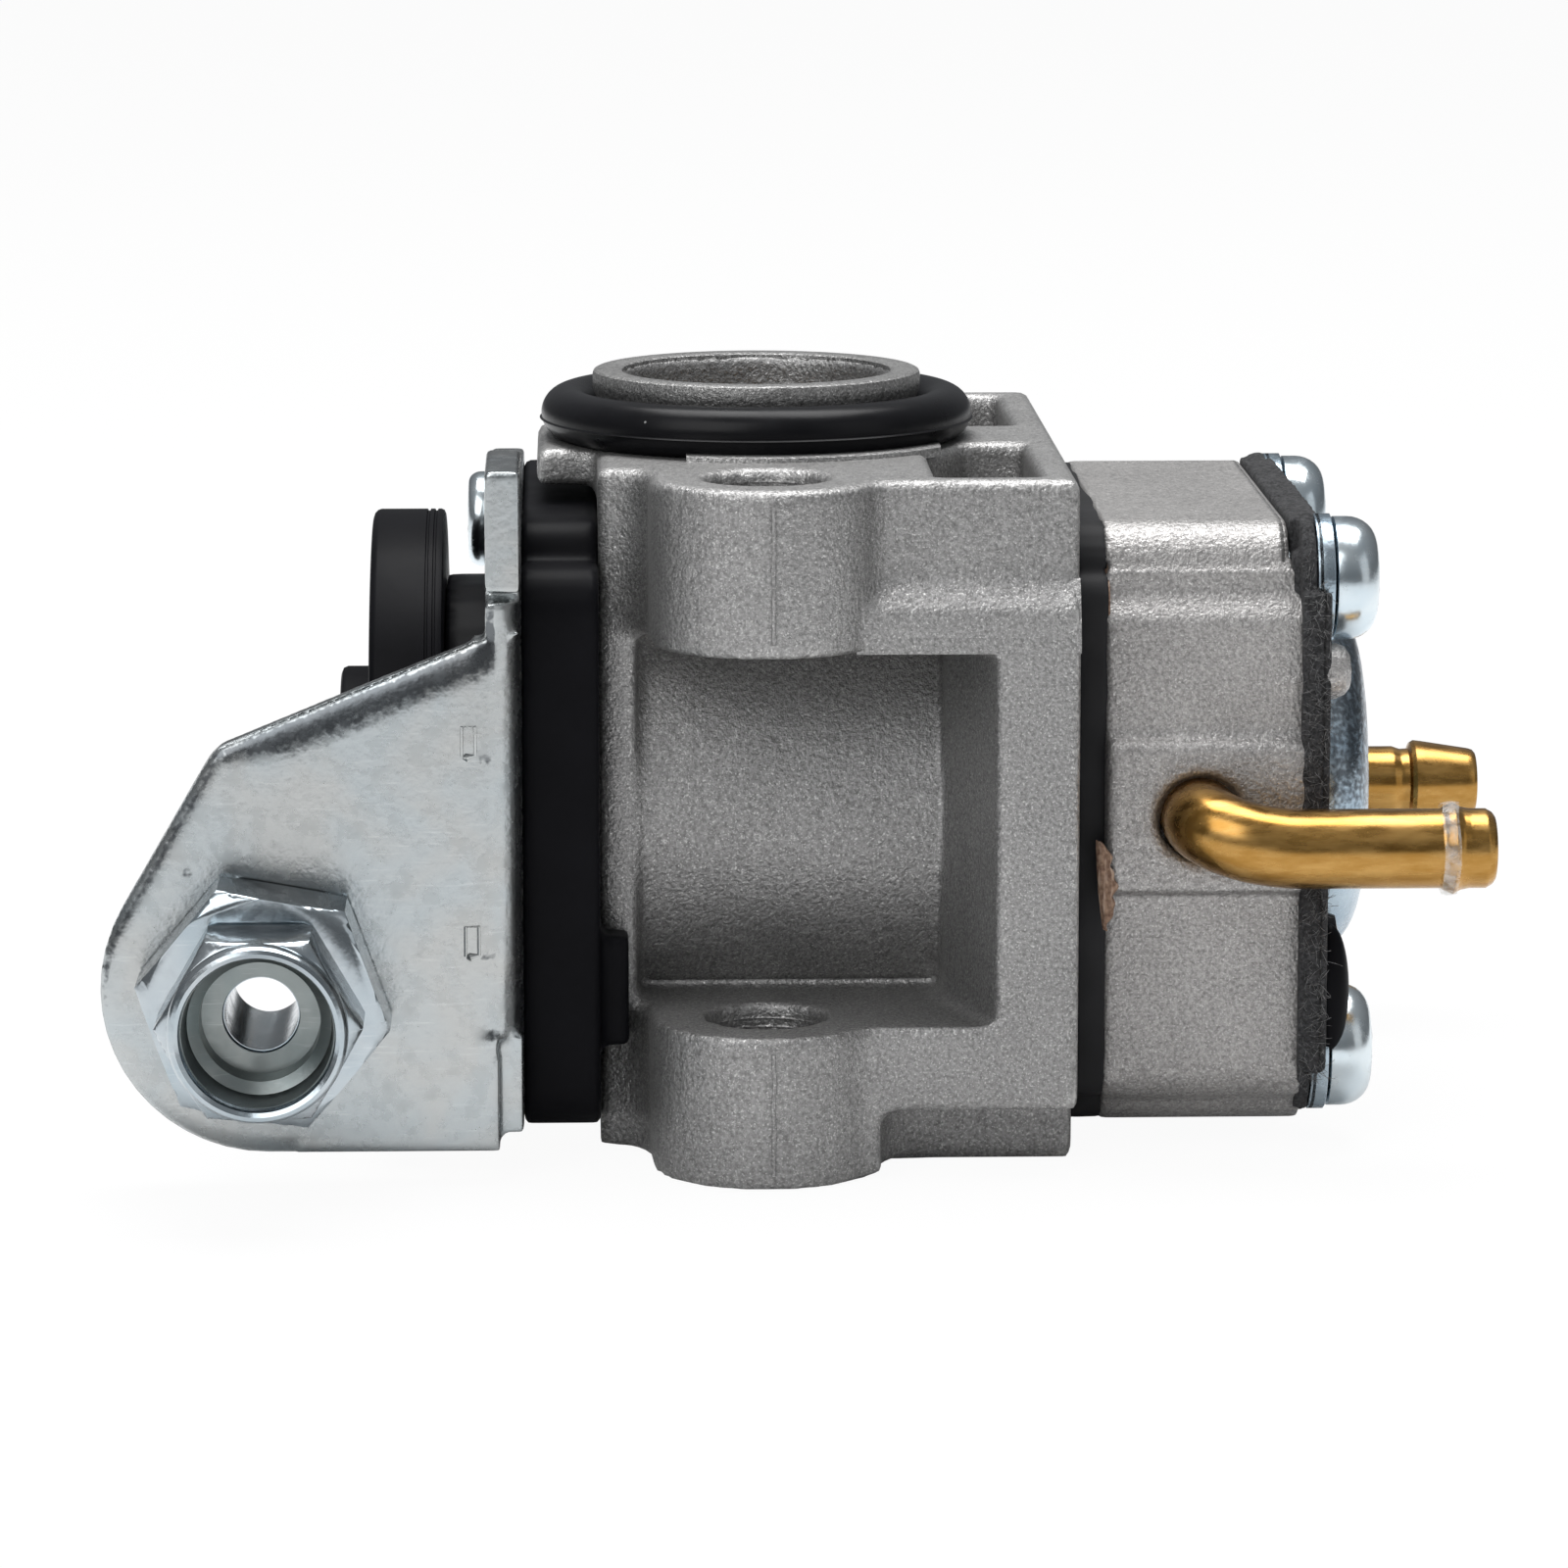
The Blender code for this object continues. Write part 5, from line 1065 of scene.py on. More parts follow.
def adjuster():
    low, high = span("cable_adjuster")
    front = low.y
    end = high.y
    back = span("adjuster_lock_nut")[0].y - HEX_GAP
    head = chamfered_hex(
        "y", CABLE_AT, ADJUSTER_HEX, ADJUSTER_TURN, front + HEX_FRONT, back, ADJUSTER_CHAMFERS, HEX_LEAN
    )
    pocket = shifted(POCKET_FRONT + POCKET_BACK, front) + [(end + 1, CABLE_HOLE_R), (end + 1, 0)]
    head = bevelled(carved(head, lathe("y", CABLE_AT, pocket, MEDIUM)), HEX_BEVEL)
    start = back - SHANK_LAP
    shank = [(start, CABLE_HOLE_R), (start, SHANK_R), (end - SHANK_TIP, SHANK_R)]
    shank = lathe("y", CABLE_AT, shank + [(end, SHANK_TIP_R), (end, CABLE_HOLE_R)], MEDIUM)
    rim = lathe("y", CABLE_AT, shifted(LIP_IN + LIP_OUT, front), FINE)
    whole = joined(head, shank, rim)
    piece("hex_adjuster", whole, BRIGHT, "adjuster", ["cable_adjuster"])
    lining = lathe("y", CABLE_AT, shifted(LINING_IN + LINING_OUT, front), MEDIUM)
    piece("adjuster_bore", lining, DULL, "adjuster")


# Coils and threads


def new_tree(name, inputs):
    """A Geometry Nodes tree with named inputs, and the identifiers that set them."""
    tree = bpy.data.node_groups.new(name, "GeometryNodeTree")
    tree.is_modifier = True
    sockets = {}
    for label, kind in inputs.items():
        made = tree.interface.new_socket(label, in_out="INPUT", socket_type="NodeSocket" + kind)
        sockets[label] = made.identifier
    tree.interface.new_socket("Geometry", in_out="OUTPUT", socket_type="NodeSocketGeometry")
    return tree, sockets, tree.nodes.new("NodeGroupInput").outputs, tree.nodes.new("NodeGroupOutput")


def tubed(tree, end, curve, sides, radius, material):
    """Ends a tree in a round tube along its curves, as a real mesh with its finish."""
    section = place(tree, "GeometryNodeCurvePrimitiveCircle", {"Resolution": sides, "Radius": radius})
    along = {"Curve": curve, "Profile Curve": section.outputs[0], "Fill Caps": True}
    tube = place(tree, "GeometryNodeCurveToMesh", along).outputs[0]
    real = place(tree, "GeometryNodeRealizeInstances", {"Geometry": tube}).outputs[0]
    coated = place(tree, "GeometryNodeSetMaterial", {"Geometry": real, "Material": material})
    feed(tree, end, {"Geometry": coated.outputs[0]})


def coil_tree():
    """A wire wound round an axis: a spring, or the ridge of a thread."""
    inputs = dict.fromkeys(("Turns", "Radius", "Length", "Wire"), "Float")
    inputs |= {"Sides": "Int", "Material": "Material"}
    tree, sockets, start, end = new_tree("Wound wire", inputs)
    radius = start["Radius"]
    sizes = {"Resolution": 48, "Rotations": start["Turns"], "Height": start["Length"]}
    sizes |= {"Start Radius": radius, "End Radius": radius}
    spiral = place(tree, "GeometryNodeCurveSpiral", sizes).outputs[0]
    tubed(tree, end, spiral, start["Sides"], start["Wire"], start["Material"])
    return tree, sockets


WOUND, WOUND_SOCKETS = coil_tree()


def grown(bm, tree, sockets, values):
    """The shape that a Geometry Nodes tree makes from a base mesh, as a plain mesh."""

    def set_up(shape):
        change = shape.modifiers.new("grow", "NODES")
        change.node_group = tree
        for label, value in values.items():
            change[sockets[label]] = value

    return modified(bm, set_up)


def wound(axis, centre, low, high, radius, wire, turns, sides, material):
    """A coil of wire between two places along an axis."""
    sizes = {"Turns": turns, "Radius": radius, "Length": high - low, "Wire": wire}
    values = {label: float(size) for label, size in sizes.items()}
    coil = grown(bmesh.new(), WOUND, WOUND_SOCKETS, values | {"Sides": sides, "Material": material})
    turn = Matrix([put(axis, 1, 0, 0), put(axis, 0, 1, 0), put(axis, 0, 0, 1)]).transposed()
    shift = Matrix.Translation(put(axis, *centre, low))
    bmesh.ops.transform(coil, matrix=shift @ turn.to_4x4(), verts=coil.verts)
    bmesh.ops.recalc_face_normals(coil, faces=coil.faces)
    return coil


THREAD_SIDES = 6
ADJUSTER_PITCH = 0.75
ADJUSTER_RIDGE = (2.72, 0.2)  # radius of the thread and of its ridge
IDLE_AT = joint_place("idle_screw_turn").xy
IDLE_PITCH = 0.5
IDLE_RIDGE = (1.07, 0.14)
IDLE_SHANK_R = 1.05
IDLE_TIP = 0.3
IDLE_EDGE = 0.25
IDLE_BEVEL = 0.06
IDLE_HEAD_GAP = 0.2
SPRING_SIDES = 14
IDLE_SLOT = (4, 0.35, 1.0)  # half length, half width and depth
IDLE_WIRE = 0.3
IDLE_TURNS = 3


def adjuster_thread():
    high = span("cable_adjuster")[1].y
    wing = span("cable_bracket")[0].y + SHEET
    turns = (high - 0.5 - wing) / ADJUSTER_PITCH
    ridge = wound("y", CABLE_AT, wing + 0.1, high - 0.4, *ADJUSTER_RIDGE, turns, THREAD_SIDES, BRIGHT)
    piece("adjuster_thread", ridge, BRIGHT, "adjuster")


def idle_screw_set():
    """The idle screw with its slot and thread, and the spring that keeps it from turning."""
    low, high = span("idle_speed_screw")
    foot = low.z
    end = high.z
    head_top = span("idle_screw_spring")[0].z - IDLE_HEAD_GAP
    head_r = (high.x - low.x) / 2
    edge = IDLE_EDGE
    profile = [(foot, 0), (foot, head_r - edge), (foot + edge, head_r), (head_top - edge / 2, head_r)]
    profile += [(head_top, head_r - edge / 2), (head_top, IDLE_SHANK_R), (end - IDLE_TIP, IDLE_SHANK_R)]
    screw = lathe("z", IDLE_AT, profile + [(end, IDLE_SHANK_R - IDLE_TIP), (end, 0)], MEDIUM)
    x, y = IDLE_AT
    long, wide, deep = IDLE_SLOT
    slot = box_shape((x - long, y - wide, foot - 1), (x + long, y + wide, foot + deep))
    screw = bevelled(carved(screw, slot), IDLE_BEVEL)
    piece("idle_screw", screw, BRASS, "idle_screw", ["idle_speed_screw"])
    turns = (end - head_top - 0.8) / IDLE_PITCH
    ridge = wound("z", IDLE_AT, head_top + 0.2, end - 0.5, *IDLE_RIDGE, turns, THREAD_SIDES, BRASS)
    piece("idle_screw_thread", ridge, BRASS, "idle_screw")
    low, high = span("idle_screw_spring")
    wire = IDLE_WIRE
    radius = (high.x - low.x) / 2 - wire
    spring = wound("z", IDLE_AT, low.z + wire, high.z - wire, radius, wire, IDLE_TURNS, SPRING_SIDES, STEEL)
    piece("idle_spring", spring, STEEL, "body", ["idle_screw_spring"])


# Pan-head screws: the way out, how far the head is let in, the share of the CAD head's radius, and its height
PAN_HEADS = {"metering": (1, 0.3, 1, 2.2), "cover": (-1, 0.0, 0.86, 1.0)}
SCREW_SHANK_R = 1.4
SCREW_BEVEL = 0.06
HEAD_SEAT = 0.94
HEAD_EDGE = 0.08
HEAD_FLANK = 0.85
HEAD_SHOULDER = 0.62
HEAD_ROUND = 0.9
HEAD_CROWN = 0.3
CROSS_REACH = 0.56
CROSS_WIDE = 0.85
CROSS_DEEP = 0.45
CROSS_TAPER = 0.2


def head_profile(seat, out, radius, height):
    """A pan head: an upright flank, a large round shoulder and a nearly flat crown."""
    shoulder = HEAD_SHOULDER * height
    flank = seat + out * (height - shoulder) * HEAD_FLANK
    profile = [(seat, radius * HEAD_SEAT), (seat + out * HEAD_EDGE, radius)]
    for turn in evenly(0, QUARTER, 8):
        along = flank + out * shoulder * math.sin(turn)
        profile.append((along, radius - shoulder * HEAD_ROUND * (1 - math.cos(turn))))
    top = seat + out * height
    return profile + [(top, radius * HEAD_CROWN), (top, 0)]


def cross_cutters(centre, top, out, reach, depth):
    half = CROSS_WIDE / 2
    layers = [(top + out, 0), (top, 0), (top - out * depth, CROSS_TAPER * CROSS_WIDE)]
    shapes = []
    for wide, tall in ((reach, half), (half, reach)):
        corners = ((-1, -1), (1, -1), (1, 1), (-1, 1))
        outline = [(centre[0] + wide * a, centre[1] + tall * b) for a, b in corners]
        shapes.append(layered("x", outline, layers))
    return shapes


def pan_screws():
    for node in sorted(frame["nodes"]):
        kind = node.split("_screw_")[0]
        if "_screw_" not in node or kind not in PAN_HEADS:
            continue
        out, let_in, share, height = PAN_HEADS[kind]
        low, high = span(node)
        shank_end, head_end = (low.x, high.x) if out > 0 else (high.x, low.x)
        top = head_end - out * let_in
        seat = top - out * height
        centre = ((low.y + high.y) / 2, (low.z + high.z) / 2)
        radius = (high.y - low.y) / 2 * share
        shank = [(shank_end, 0), (shank_end, SCREW_SHANK_R), (seat, SCREW_SHANK_R)]
        screw = lathe("x", centre, shank + head_profile(seat, out, radius, height), MEDIUM)
        cutters = cross_cutters(centre, top, out, CROSS_REACH * radius, CROSS_DEEP * height)
        screw = bevelled(carved(screw, *cutters), SCREW_BEVEL)
        piece(node.replace("_screw_", "_pan_head_"), screw, BLUE_ZINC, "body", [node])


# Throttle lever, swivel and cover; the lever's edges as (along, inset) layers
LEVER_R = 12.8
LEVER_NUB = 1.6
NOTCH_R = 9.3
NOTCH_START = 190
NOTCH_END = 289
NUB_R = 5.3
NUB_EDGE = 0.3
NUB_FLARE = ((-0.3, 0), (-0.08, 0.1), (0.2, 0.35))
RIM_STEPS = 110
NOTCH_STEPS = 40
STEM_HOLE_R = 3.5
FRONT_EDGE = ((0, 0.35), (0.06, 0.18), (0.18, 0.06), (0.35, 0.0))
BACK_EDGE = ((-0.2, 0.0), (-0.06, 0.06), (0, 0.2))
GROOVES = (0.85, 0.5)
GROOVE = ((0, 0.0), (0.04, 0.09), (0.12, 0.09), (0.16, 0.0))
SWIVEL_AT = joint_place("swivel_turn").yz
SWIVEL_HOLE_R = 1.8
SWIVEL_EDGE = 0.35
SWIVEL_BEVEL = 0.08
SWIVEL_GAP = 0.3
SWIVEL_ROUND = 0.15
SWIVEL_SHANK_R = 1.5
WIRE_HOLE_R = 1.0
COVER_RIGHT = -8.5
COVER_CLOSE = 0.12
COVER_LEFT = (-0.4, 0.6)
COVER_HUB = 0.7


def lever():
    low, high = span("throttle_lever")
    nub = low.x
    back = high.x
    out = nub + LEVER_NUB
    rim = [math.radians(turn) for turn in evenly(NOTCH_END, NOTCH_START + 360, RIM_STEPS)]
    inner = [math.radians(turn) for turn in evenly(NOTCH_START, NOTCH_END, NOTCH_STEPS)]
    outline = [on_circle(MIDDLE, LEVER_R, turn) for turn in rim]
    outline += [on_circle(MIDDLE, NOTCH_R, turn) for turn in inner]
    layers = shifted(FRONT_EDGE, out)
    for groove in GROOVES:
        layers += shifted(GROOVE, back - groove)
    disc = layered("x", outline, layers + shifted(BACK_EDGE, back))
    boss = [(nub, 0), (nub, NUB_R - NUB_EDGE), (nub + 0.09, NUB_R - 0.09), (nub + NUB_EDGE, NUB_R)]
    boss += [(out + along, NUB_R + wider) for along, wider in NUB_FLARE]
    boss.append((boss[-1][0], 0))
    through = (nub - 1, back + 1)
    hub = carved(lathe("x", MIDDLE, boss, FINE), rod("x", MIDDLE, *through, STEM_HOLE_R))
    swivel_hole = rod("x", SWIVEL_AT, *through, SWIVEL_HOLE_R)
    disc = carved(disc, rod("x", MIDDLE, *through, STEM_HOLE_R), swivel_hole)
    piece("moulded_lever", joined(disc, hub), PLASTIC, "throttle", ["throttle_lever"])


def swivel():
    low, high = span("cable_swivel")
    end = low.x
    radius = (high.y - low.y) / 2
    under = span("throttle_lever")[0].x + LEVER_NUB - SWIVEL_GAP
    profile = [(end, 0), (end, radius - SWIVEL_EDGE), (end + 0.1, radius - 0.1), (end + SWIVEL_EDGE, radius)]
    profile += [(under - SWIVEL_ROUND, radius), (under, radius - SWIVEL_ROUND), (under, SWIVEL_SHANK_R)]
    pin = lathe("x", SWIVEL_AT, profile + [(high.x, SWIVEL_SHANK_R), (high.x, 0)], MEDIUM)
    y, z = SWIVEL_AT
    pin = bevelled(carved(pin, rod("y", (CABLE_AT[0], z), y - 5, y + 5, WIRE_HOLE_R, SMALL)), SWIVEL_BEVEL)
    piece("swivel_pin", pin, ZINC, "swivel", ["cable_swivel"])


def cover():
    """The moulded cover, drawn out a little where it closes on the body, the bracket and the lever."""
    shape = remeshed(cad_copy("throttle_cover"), COVER_SKIN)
    left = span("cable_bracket")[1].x
    hub = span("throttle_lever")[1].x
    for vert in shape.verts:
        if vert.co.x > COVER_RIGHT:
            vert.co.x += COVER_CLOSE
        elif left + COVER_LEFT[0] < vert.co.x < left + COVER_LEFT[1]:
            vert.co.x -= COVER_CLOSE
        elif vert.co.x < hub + COVER_HUB:
            vert.co.x -= 2 * COVER_CLOSE
    piece("moulded_cover", shape, PLASTIC, "body", ["throttle_cover"], COVER_SKIN)


# Gaskets and film
PUMP_SHEET_FACE = 0.3
PUMP_SHEET_FILL = 0.6
FELT_BAND = ((24.2, -11.6, 10.0), (25.7, 11.6, 13.8))
FELT_CORNER = ((24.2, -13.1, 8.5), (25.4, -11.0, 12.4))
FELT_TAB = (-13.9, -10.3)
FELT_DROP = 0.7
FELT_LIP = 25.6
FELT_LIP_IN = 0.2
HAIR_FROM = -13.6
HAIRS = {"Density": 18.0, "Length": 0.8, "Thickness": 0.013, "Seed": 5, "Material": LINT}
BULGE_AT = (26.1, -13.4, -7.9)
BULGE_HALF = (0.95, 1.0, 3.1)


def roughened(shape, low, high, size, depth, seed):
    """Moves the rim of a soft sheet in and out a little, so that it isn't a ruler-straight cut."""
    for vert in shape.verts:
        inside = min(vert.co.x - low, high - vert.co.x)
        away = Vector((0, vert.co.y, vert.co.z))
        push = noise.noise(vert.co * size + Vector((seed, 0, 0))) * depth
        vert.co += away.normalized() * (push + 0.5 * depth * max(0.0, inside))
    return shape


def pump_gasket():
    low, high = span("pump_gasket")
    shape = remeshed(cad_copy("pump_gasket"), GASKET_SKIN)
    shape = lengthened(roughened(shape, low.x, high.x, 0.5, 0.12, 3))
    for vert in shape.verts:
        if vert.co.x > high.x - PUMP_SHEET_FACE:
            vert.co.x += PUMP_SHEET_FILL
    piece("pump_seal_sheet", shape, GASKET, "body", ["pump_gasket"], GASKET_SKIN)


def fibre_tree():
    """Short bent fibres that stand on the outer rim of a felt sheet."""
    inputs = {"Geometry": "Geometry"} | dict.fromkeys(("Density", "Length", "Thickness"), "Float")
    inputs |= {"Seed": "Int", "Material": "Material"}
    tree, sockets, start, end = new_tree("Felt fibres", inputs)
    seed = start["Seed"]
    facing = place(tree, "GeometryNodeInputNormal").outputs[0]
    level = maths(tree, "ABSOLUTE", place(tree, "ShaderNodeSeparateXYZ", {"Vector": facing}).outputs["X"])
    rim = maths(tree, "LESS_THAN", level, 0.4)
    ground = {"Mesh": start["Geometry"], "Selection": rim, "Density": start["Density"], "Seed": seed}
    dots = place(tree, "GeometryNodeDistributePointsOnFaces", ground)
    arch = {"Resolution": 4, "Start": (0, 0, 0), "Middle": (0.35, 0, 0.5), "End": (0.9, 0.2, 0.55)}
    bent = place(tree, "GeometryNodeCurveQuadraticBezier", arch)
    leans = {"Min": (-0.7, -0.7, 0.0), "Max": (0.7, 0.7, 6.28), "Seed": seed}
    lean = place(tree, "FunctionNodeRandomValue", leans, data_type="FLOAT_VECTOR")
    turns = {"Rotation": dots.outputs["Rotation"], "Rotate By": lean.outputs[0]}
    spun = place(tree, "FunctionNodeRotateRotation", turns, rotation_space="LOCAL")
    size = place(tree, "FunctionNodeRandomValue", {2: 0.35, 3: 1.0, "Seed": seed}, data_type="FLOAT")
    reach = times(tree, size.outputs[1], start["Length"])
    stand = {"Points": dots.outputs[0], "Instance": bent.outputs[0]}
    stand |= {"Rotation": spun.outputs[0], "Scale": reach}
    strands = place(tree, "GeometryNodeInstanceOnPoints", stand).outputs[0]
    real = place(tree, "GeometryNodeRealizeInstances", {"Geometry": strands}).outputs[0]
    tubed(tree, end, real, 3, start["Thickness"], start["Material"])
    return tree, sockets


FIBRES, FIBRE_SOCKETS = fibre_tree()


def metering_gasket():
    """The felt gasket, which also covers the casting's top edge, and the loose hairs on its near edge."""
    low, high = span("metering_gasket")
    shapes = [cad_copy("metering_gasket"), box_shape(*FELT_BAND), box_shape(*FELT_CORNER)]
    shape = remeshed(joined(*shapes), GASKET_SKIN)
    for vert in shape.verts:
        if vert.co.y < FELT_TAB[0] and vert.co.z < FELT_TAB[1]:
            vert.co.z -= FELT_DROP
        if vert.co.x > FELT_LIP and vert.co.y < FELT_TAB[0]:
            vert.co.x -= FELT_LIP_IN
    shape = roughened(shape, low.x, high.x, 1.4, 0.16, 11)
    base = shape.copy()
    bmesh.ops.delete(base, geom=[vert for vert in base.verts if vert.co.y > HAIR_FROM], context="VERTS")
    fibres = grown(base, FIBRES, FIBRE_SOCKETS, HAIRS)
    piece("felt_gasket", shape, FELT, "body", ["metering_gasket"], GASKET_SKIN)
    piece("felt_fibres", fibres, LINT, "body")


def metering_skin():
    """The metering diaphragm, and the black lip that bulges out of its near edge."""
    skin = bevelled(cad_copy("metering_diaphragm"), 0.06)
    piece("metering_skin", skin, RUBBER, "body", ["metering_diaphragm"])
    bulge = bmesh.new()
    stretch = Matrix.Translation(BULGE_AT) @ Matrix.Diagonal((*BULGE_HALF, 1.0))
    bmesh.ops.create_uvsphere(bulge, u_segments=32, v_segments=24, radius=1.0, matrix=stretch)
    piece("skin_bulge", bulge, PLASTIC, "body")


FILM_SHARE = 0.992
FILM_SHIFT = 0.3
FLAKE_TOP = -0.5
FLAKE_LOW = -4.7
FLAKE_WIDE = 0.85
FLAKE_FRONT = -14.8
FLAKE_THICK = 0.06
FLAKE_NARROW = 0.25
FLAKE_RAGGED = 0.5
FLAKE_CURL = 0.22
FLAKE_CRINKLE = 0.12
FLAKE_SWING = 0.35
FLAKE_SLANT = 0.1
FLAKE_ROWS = 28
FLAKE_COLUMNS = 8


def torn_film():
    """The pump diaphragm, with the torn strip of its cloth that hangs out of the near edge."""
    film = lengthened(bevelled(cad_copy("pump_diaphragm"), 0.03, 1))
    bmesh.ops.scale(film, verts=film.verts, vec=(1, FILM_SHARE, FILM_SHARE))
    bmesh.ops.translate(film, verts=film.verts, vec=(FILM_SHIFT, 0, 0))
    piece("pump_film", film, FILM, "body", ["pump_diaphragm"])
    left = span("pump_diaphragm")[0].x - 0.1
    bm = bmesh.new()
    grid = []
    for share in evenly(0, 1, FLAKE_ROWS):
        height = FLAKE_TOP + (FLAKE_LOW - FLAKE_TOP) * share
        fullness = math.sin(math.pi * min(1, share * 1.1)) ** 0.6
        width = FLAKE_WIDE * (FLAKE_NARROW + (1 - FLAKE_NARROW) * fullness)
        width *= 1 + FLAKE_RAGGED * noise.noise(Vector((share * 9, 2, 0)))
        line = []
        for across in evenly(0, 1, FLAKE_COLUMNS):
            crinkle = FLAKE_CRINKLE * noise.noise(Vector((across * 3, share * 8, 5)))
            lift = FLAKE_CURL * math.sin(math.pi * across) + crinkle
            x = left + width * across + FLAKE_SWING * share**2
            line.append(bm.verts.new((x, FLAKE_FRONT - lift, height - FLAKE_SLANT * across)))
        grid.append(line)
    for first, second in zip(grid, grid[1:]):
        for here in range(FLAKE_COLUMNS):
            bm.faces.new((first[here], first[here + 1], second[here + 1], second[here]))

    def set_up(shape):
        thick = shape.modifiers.new("thick", "SOLIDIFY")
        thick.thickness = FLAKE_THICK
        thick.offset = 0
        smooth = shape.modifiers.new("smooth", "SUBSURF")
        smooth.levels = 1
        smooth.render_levels = 1

    flake = modified(bm, set_up)
    bmesh.ops.recalc_face_normals(flake, faces=flake.faces)
    piece("torn_strip", flake, FILM, "body")


# Metering lid: its cup is a round whose crown is flattened by LID_POWER
LID_R = 8.8
LID_VENT_R = 0.8
LID_T = 0.8
LID_CLOSE = 0.38
LID_LOWER = 0.12
LID_POWER = 6
LID_WALL = 0.3
LID_LAP = 0.05
LID_BEVEL = 0.14
# Painted dark reflection on the cup's top: its strength, the height where it starts and the rise over which
# it comes in
LID_PAINTED_REFLECTION = 0.36
LID_PAINTED_REFLECTION_FROM = -2
LID_PAINTED_REFLECTION_RUN = 3


def lid():
    """The pressed lid: a flat rim and a cup with a steep wall and a nearly flat crown, with painted dark
    reflection on its top.
    """
    low, high = span("metering_cover")
    low.x -= LID_CLOSE
    high.x -= LID_CLOSE + LID_LOWER
    seat = low.x + LID_T
    well = rod("x", MIDDLE, low.x - 2, high.x + 2, LID_R, FINE)
    rim = bevelled(carved(cad_copy("metering_cover"), well), LID_BEVEL, 3)
    bmesh.ops.translate(rim, verts=rim.verts, vec=(-LID_CLOSE, 0, 0))
    outer = []
    for turn in evenly(0, QUARTER, 20):
        radius = LID_VENT_R + (LID_R - LID_VENT_R) * math.sin(turn)
        rise = math.sqrt(max(0.0, 1 - (radius / LID_R) ** LID_POWER))
        outer.append((seat + (high.x - seat) * rise, radius))
    inner = [(along - LID_T, radius - LID_WALL) for along, radius in reversed(outer)]
    cup = lathe("x", MIDDLE, outer + [(low.x, LID_R + LID_LAP)] + inner, FINE)
    shape = joined(rim, cup)
    # Painted dark reflection on the cup's upper part, through the shade attribute.
    shade = shape.verts.layers.float.new("shade")
    for vert in shape.verts:
        if vert.co.yz.length < LID_R - LID_LAP:
            vert[shade] = LID_PAINTED_REFLECTION * eased((vert.co.z - LID_PAINTED_REFLECTION_FROM) / LID_PAINTED_REFLECTION_RUN)
    piece("pressed_lid", shape, LID_ZINC, "body", ["metering_cover"])


# Fuel elbows: each pipe's outside as (back from its end, radius)
PIPE_R = 1.82
PIPE_BORE = 1.15
PIPE_BEND = 2.3
PIPE_SIDES = 48
ROOT_STEPS = 6
BEND_STEPS = 24
RUN_STEPS = 60
EASE_FROM = 4
EASE_STEPS = 38
LEAST_STEP = 1e-4
PIPE_FAR = (60, PIPE_R)
NEAR_TIP = ((0.0, 1.5), (0.12, 1.66), (0.4, PIPE_R), (1.15, PIPE_R))
NEAR_BEAD = ((1.55, 1.9), (1.9, 2.1), (2.2, 1.98), (2.45, PIPE_R))
FAR_TIP = ((0.0, 1.5), (0.12, 1.63), (0.35, 1.7), (2.7, 2.07))
FAR_BEAD = ((3.1, 2.12), (3.3, 2.0), (3.42, 1.7), (3.8, 1.68), (4.2, PIPE_R))
NEAR_RISE = 1.0
NEAR_TRIM = 0.25
CLEAR_BACK = 2.4
CLEAR_LONG = 0.75
CLEAR_R = 2.1
CLEAR_BULGE = 0.06
CLEAR_THICK = 0.04
CLEAR_DENT = 0.07
CLEAR_SLIP = 0.25


def pipe_path(side, x, height, rise, root_y, run_y, end):
    """Centre line of an elbow: out of the casting, round a quarter bend and along +X, from a raised root."""
    bend_y = side * (run_y - PIPE_BEND)
    start = x + PIPE_BEND
    path = [Vector((x, y, height)) for y in evenly(side * root_y, bend_y, ROOT_STEPS)[:-1]]
    for turn in evenly(0, QUARTER, BEND_STEPS):
        along = x + PIPE_BEND * (1 - math.cos(turn))
        path.append(Vector((along, bend_y + side * PIPE_BEND * math.sin(turn), height)))
    path += [Vector((along, side * run_y, height)) for along in evenly(start, end, RUN_STEPS)[1:]]
    for index, point in enumerate(path):
        point.z += rise * (1 - eased((index - EASE_FROM) / EASE_STEPS))
    return path


def elbow(name, node, side, swells, rise, trim):
    """A bored elbow; returns where its pipe ends."""
    low, high = span(node)
    end = high.x - trim
    height = (low.z + high.z) / 2
    backs, sizes = zip(*swells)
    run_y = (-low.y if side < 0 else high.y) - max(sizes)
    root_y = high.y if side < 0 else low.y
    path = pipe_path(side, low.x + PIPE_R, height, rise, abs(root_y), run_y, end)
    path += [Vector((end - back, side * run_y, height)) for back in backs[:-1]]
    bend = path[: ROOT_STEPS + BEND_STEPS + 1]
    run = sorted(path[len(bend) :], key=lambda point: point.x)
    path = bend + run[:1] + [after for here, after in zip(run, run[1:]) if after.x - here.x > LEAST_STEP]
    radii = [float(np.interp(end - point.x, backs, sizes)) for point in path]
    inside = [path[0] - Vector((0, side, 0))] + path[1:-1] + [path[-1] + Vector((1, 0, 0))]
    bore = sweep(inside, [PIPE_BORE] * len(inside), SMALL, UP)
    pipe = carved(sweep(path, radii, PIPE_SIDES, UP), bore)
    piece(name, pipe, BRASS, "body", [node])
    return Vector((end, side * run_y, height))


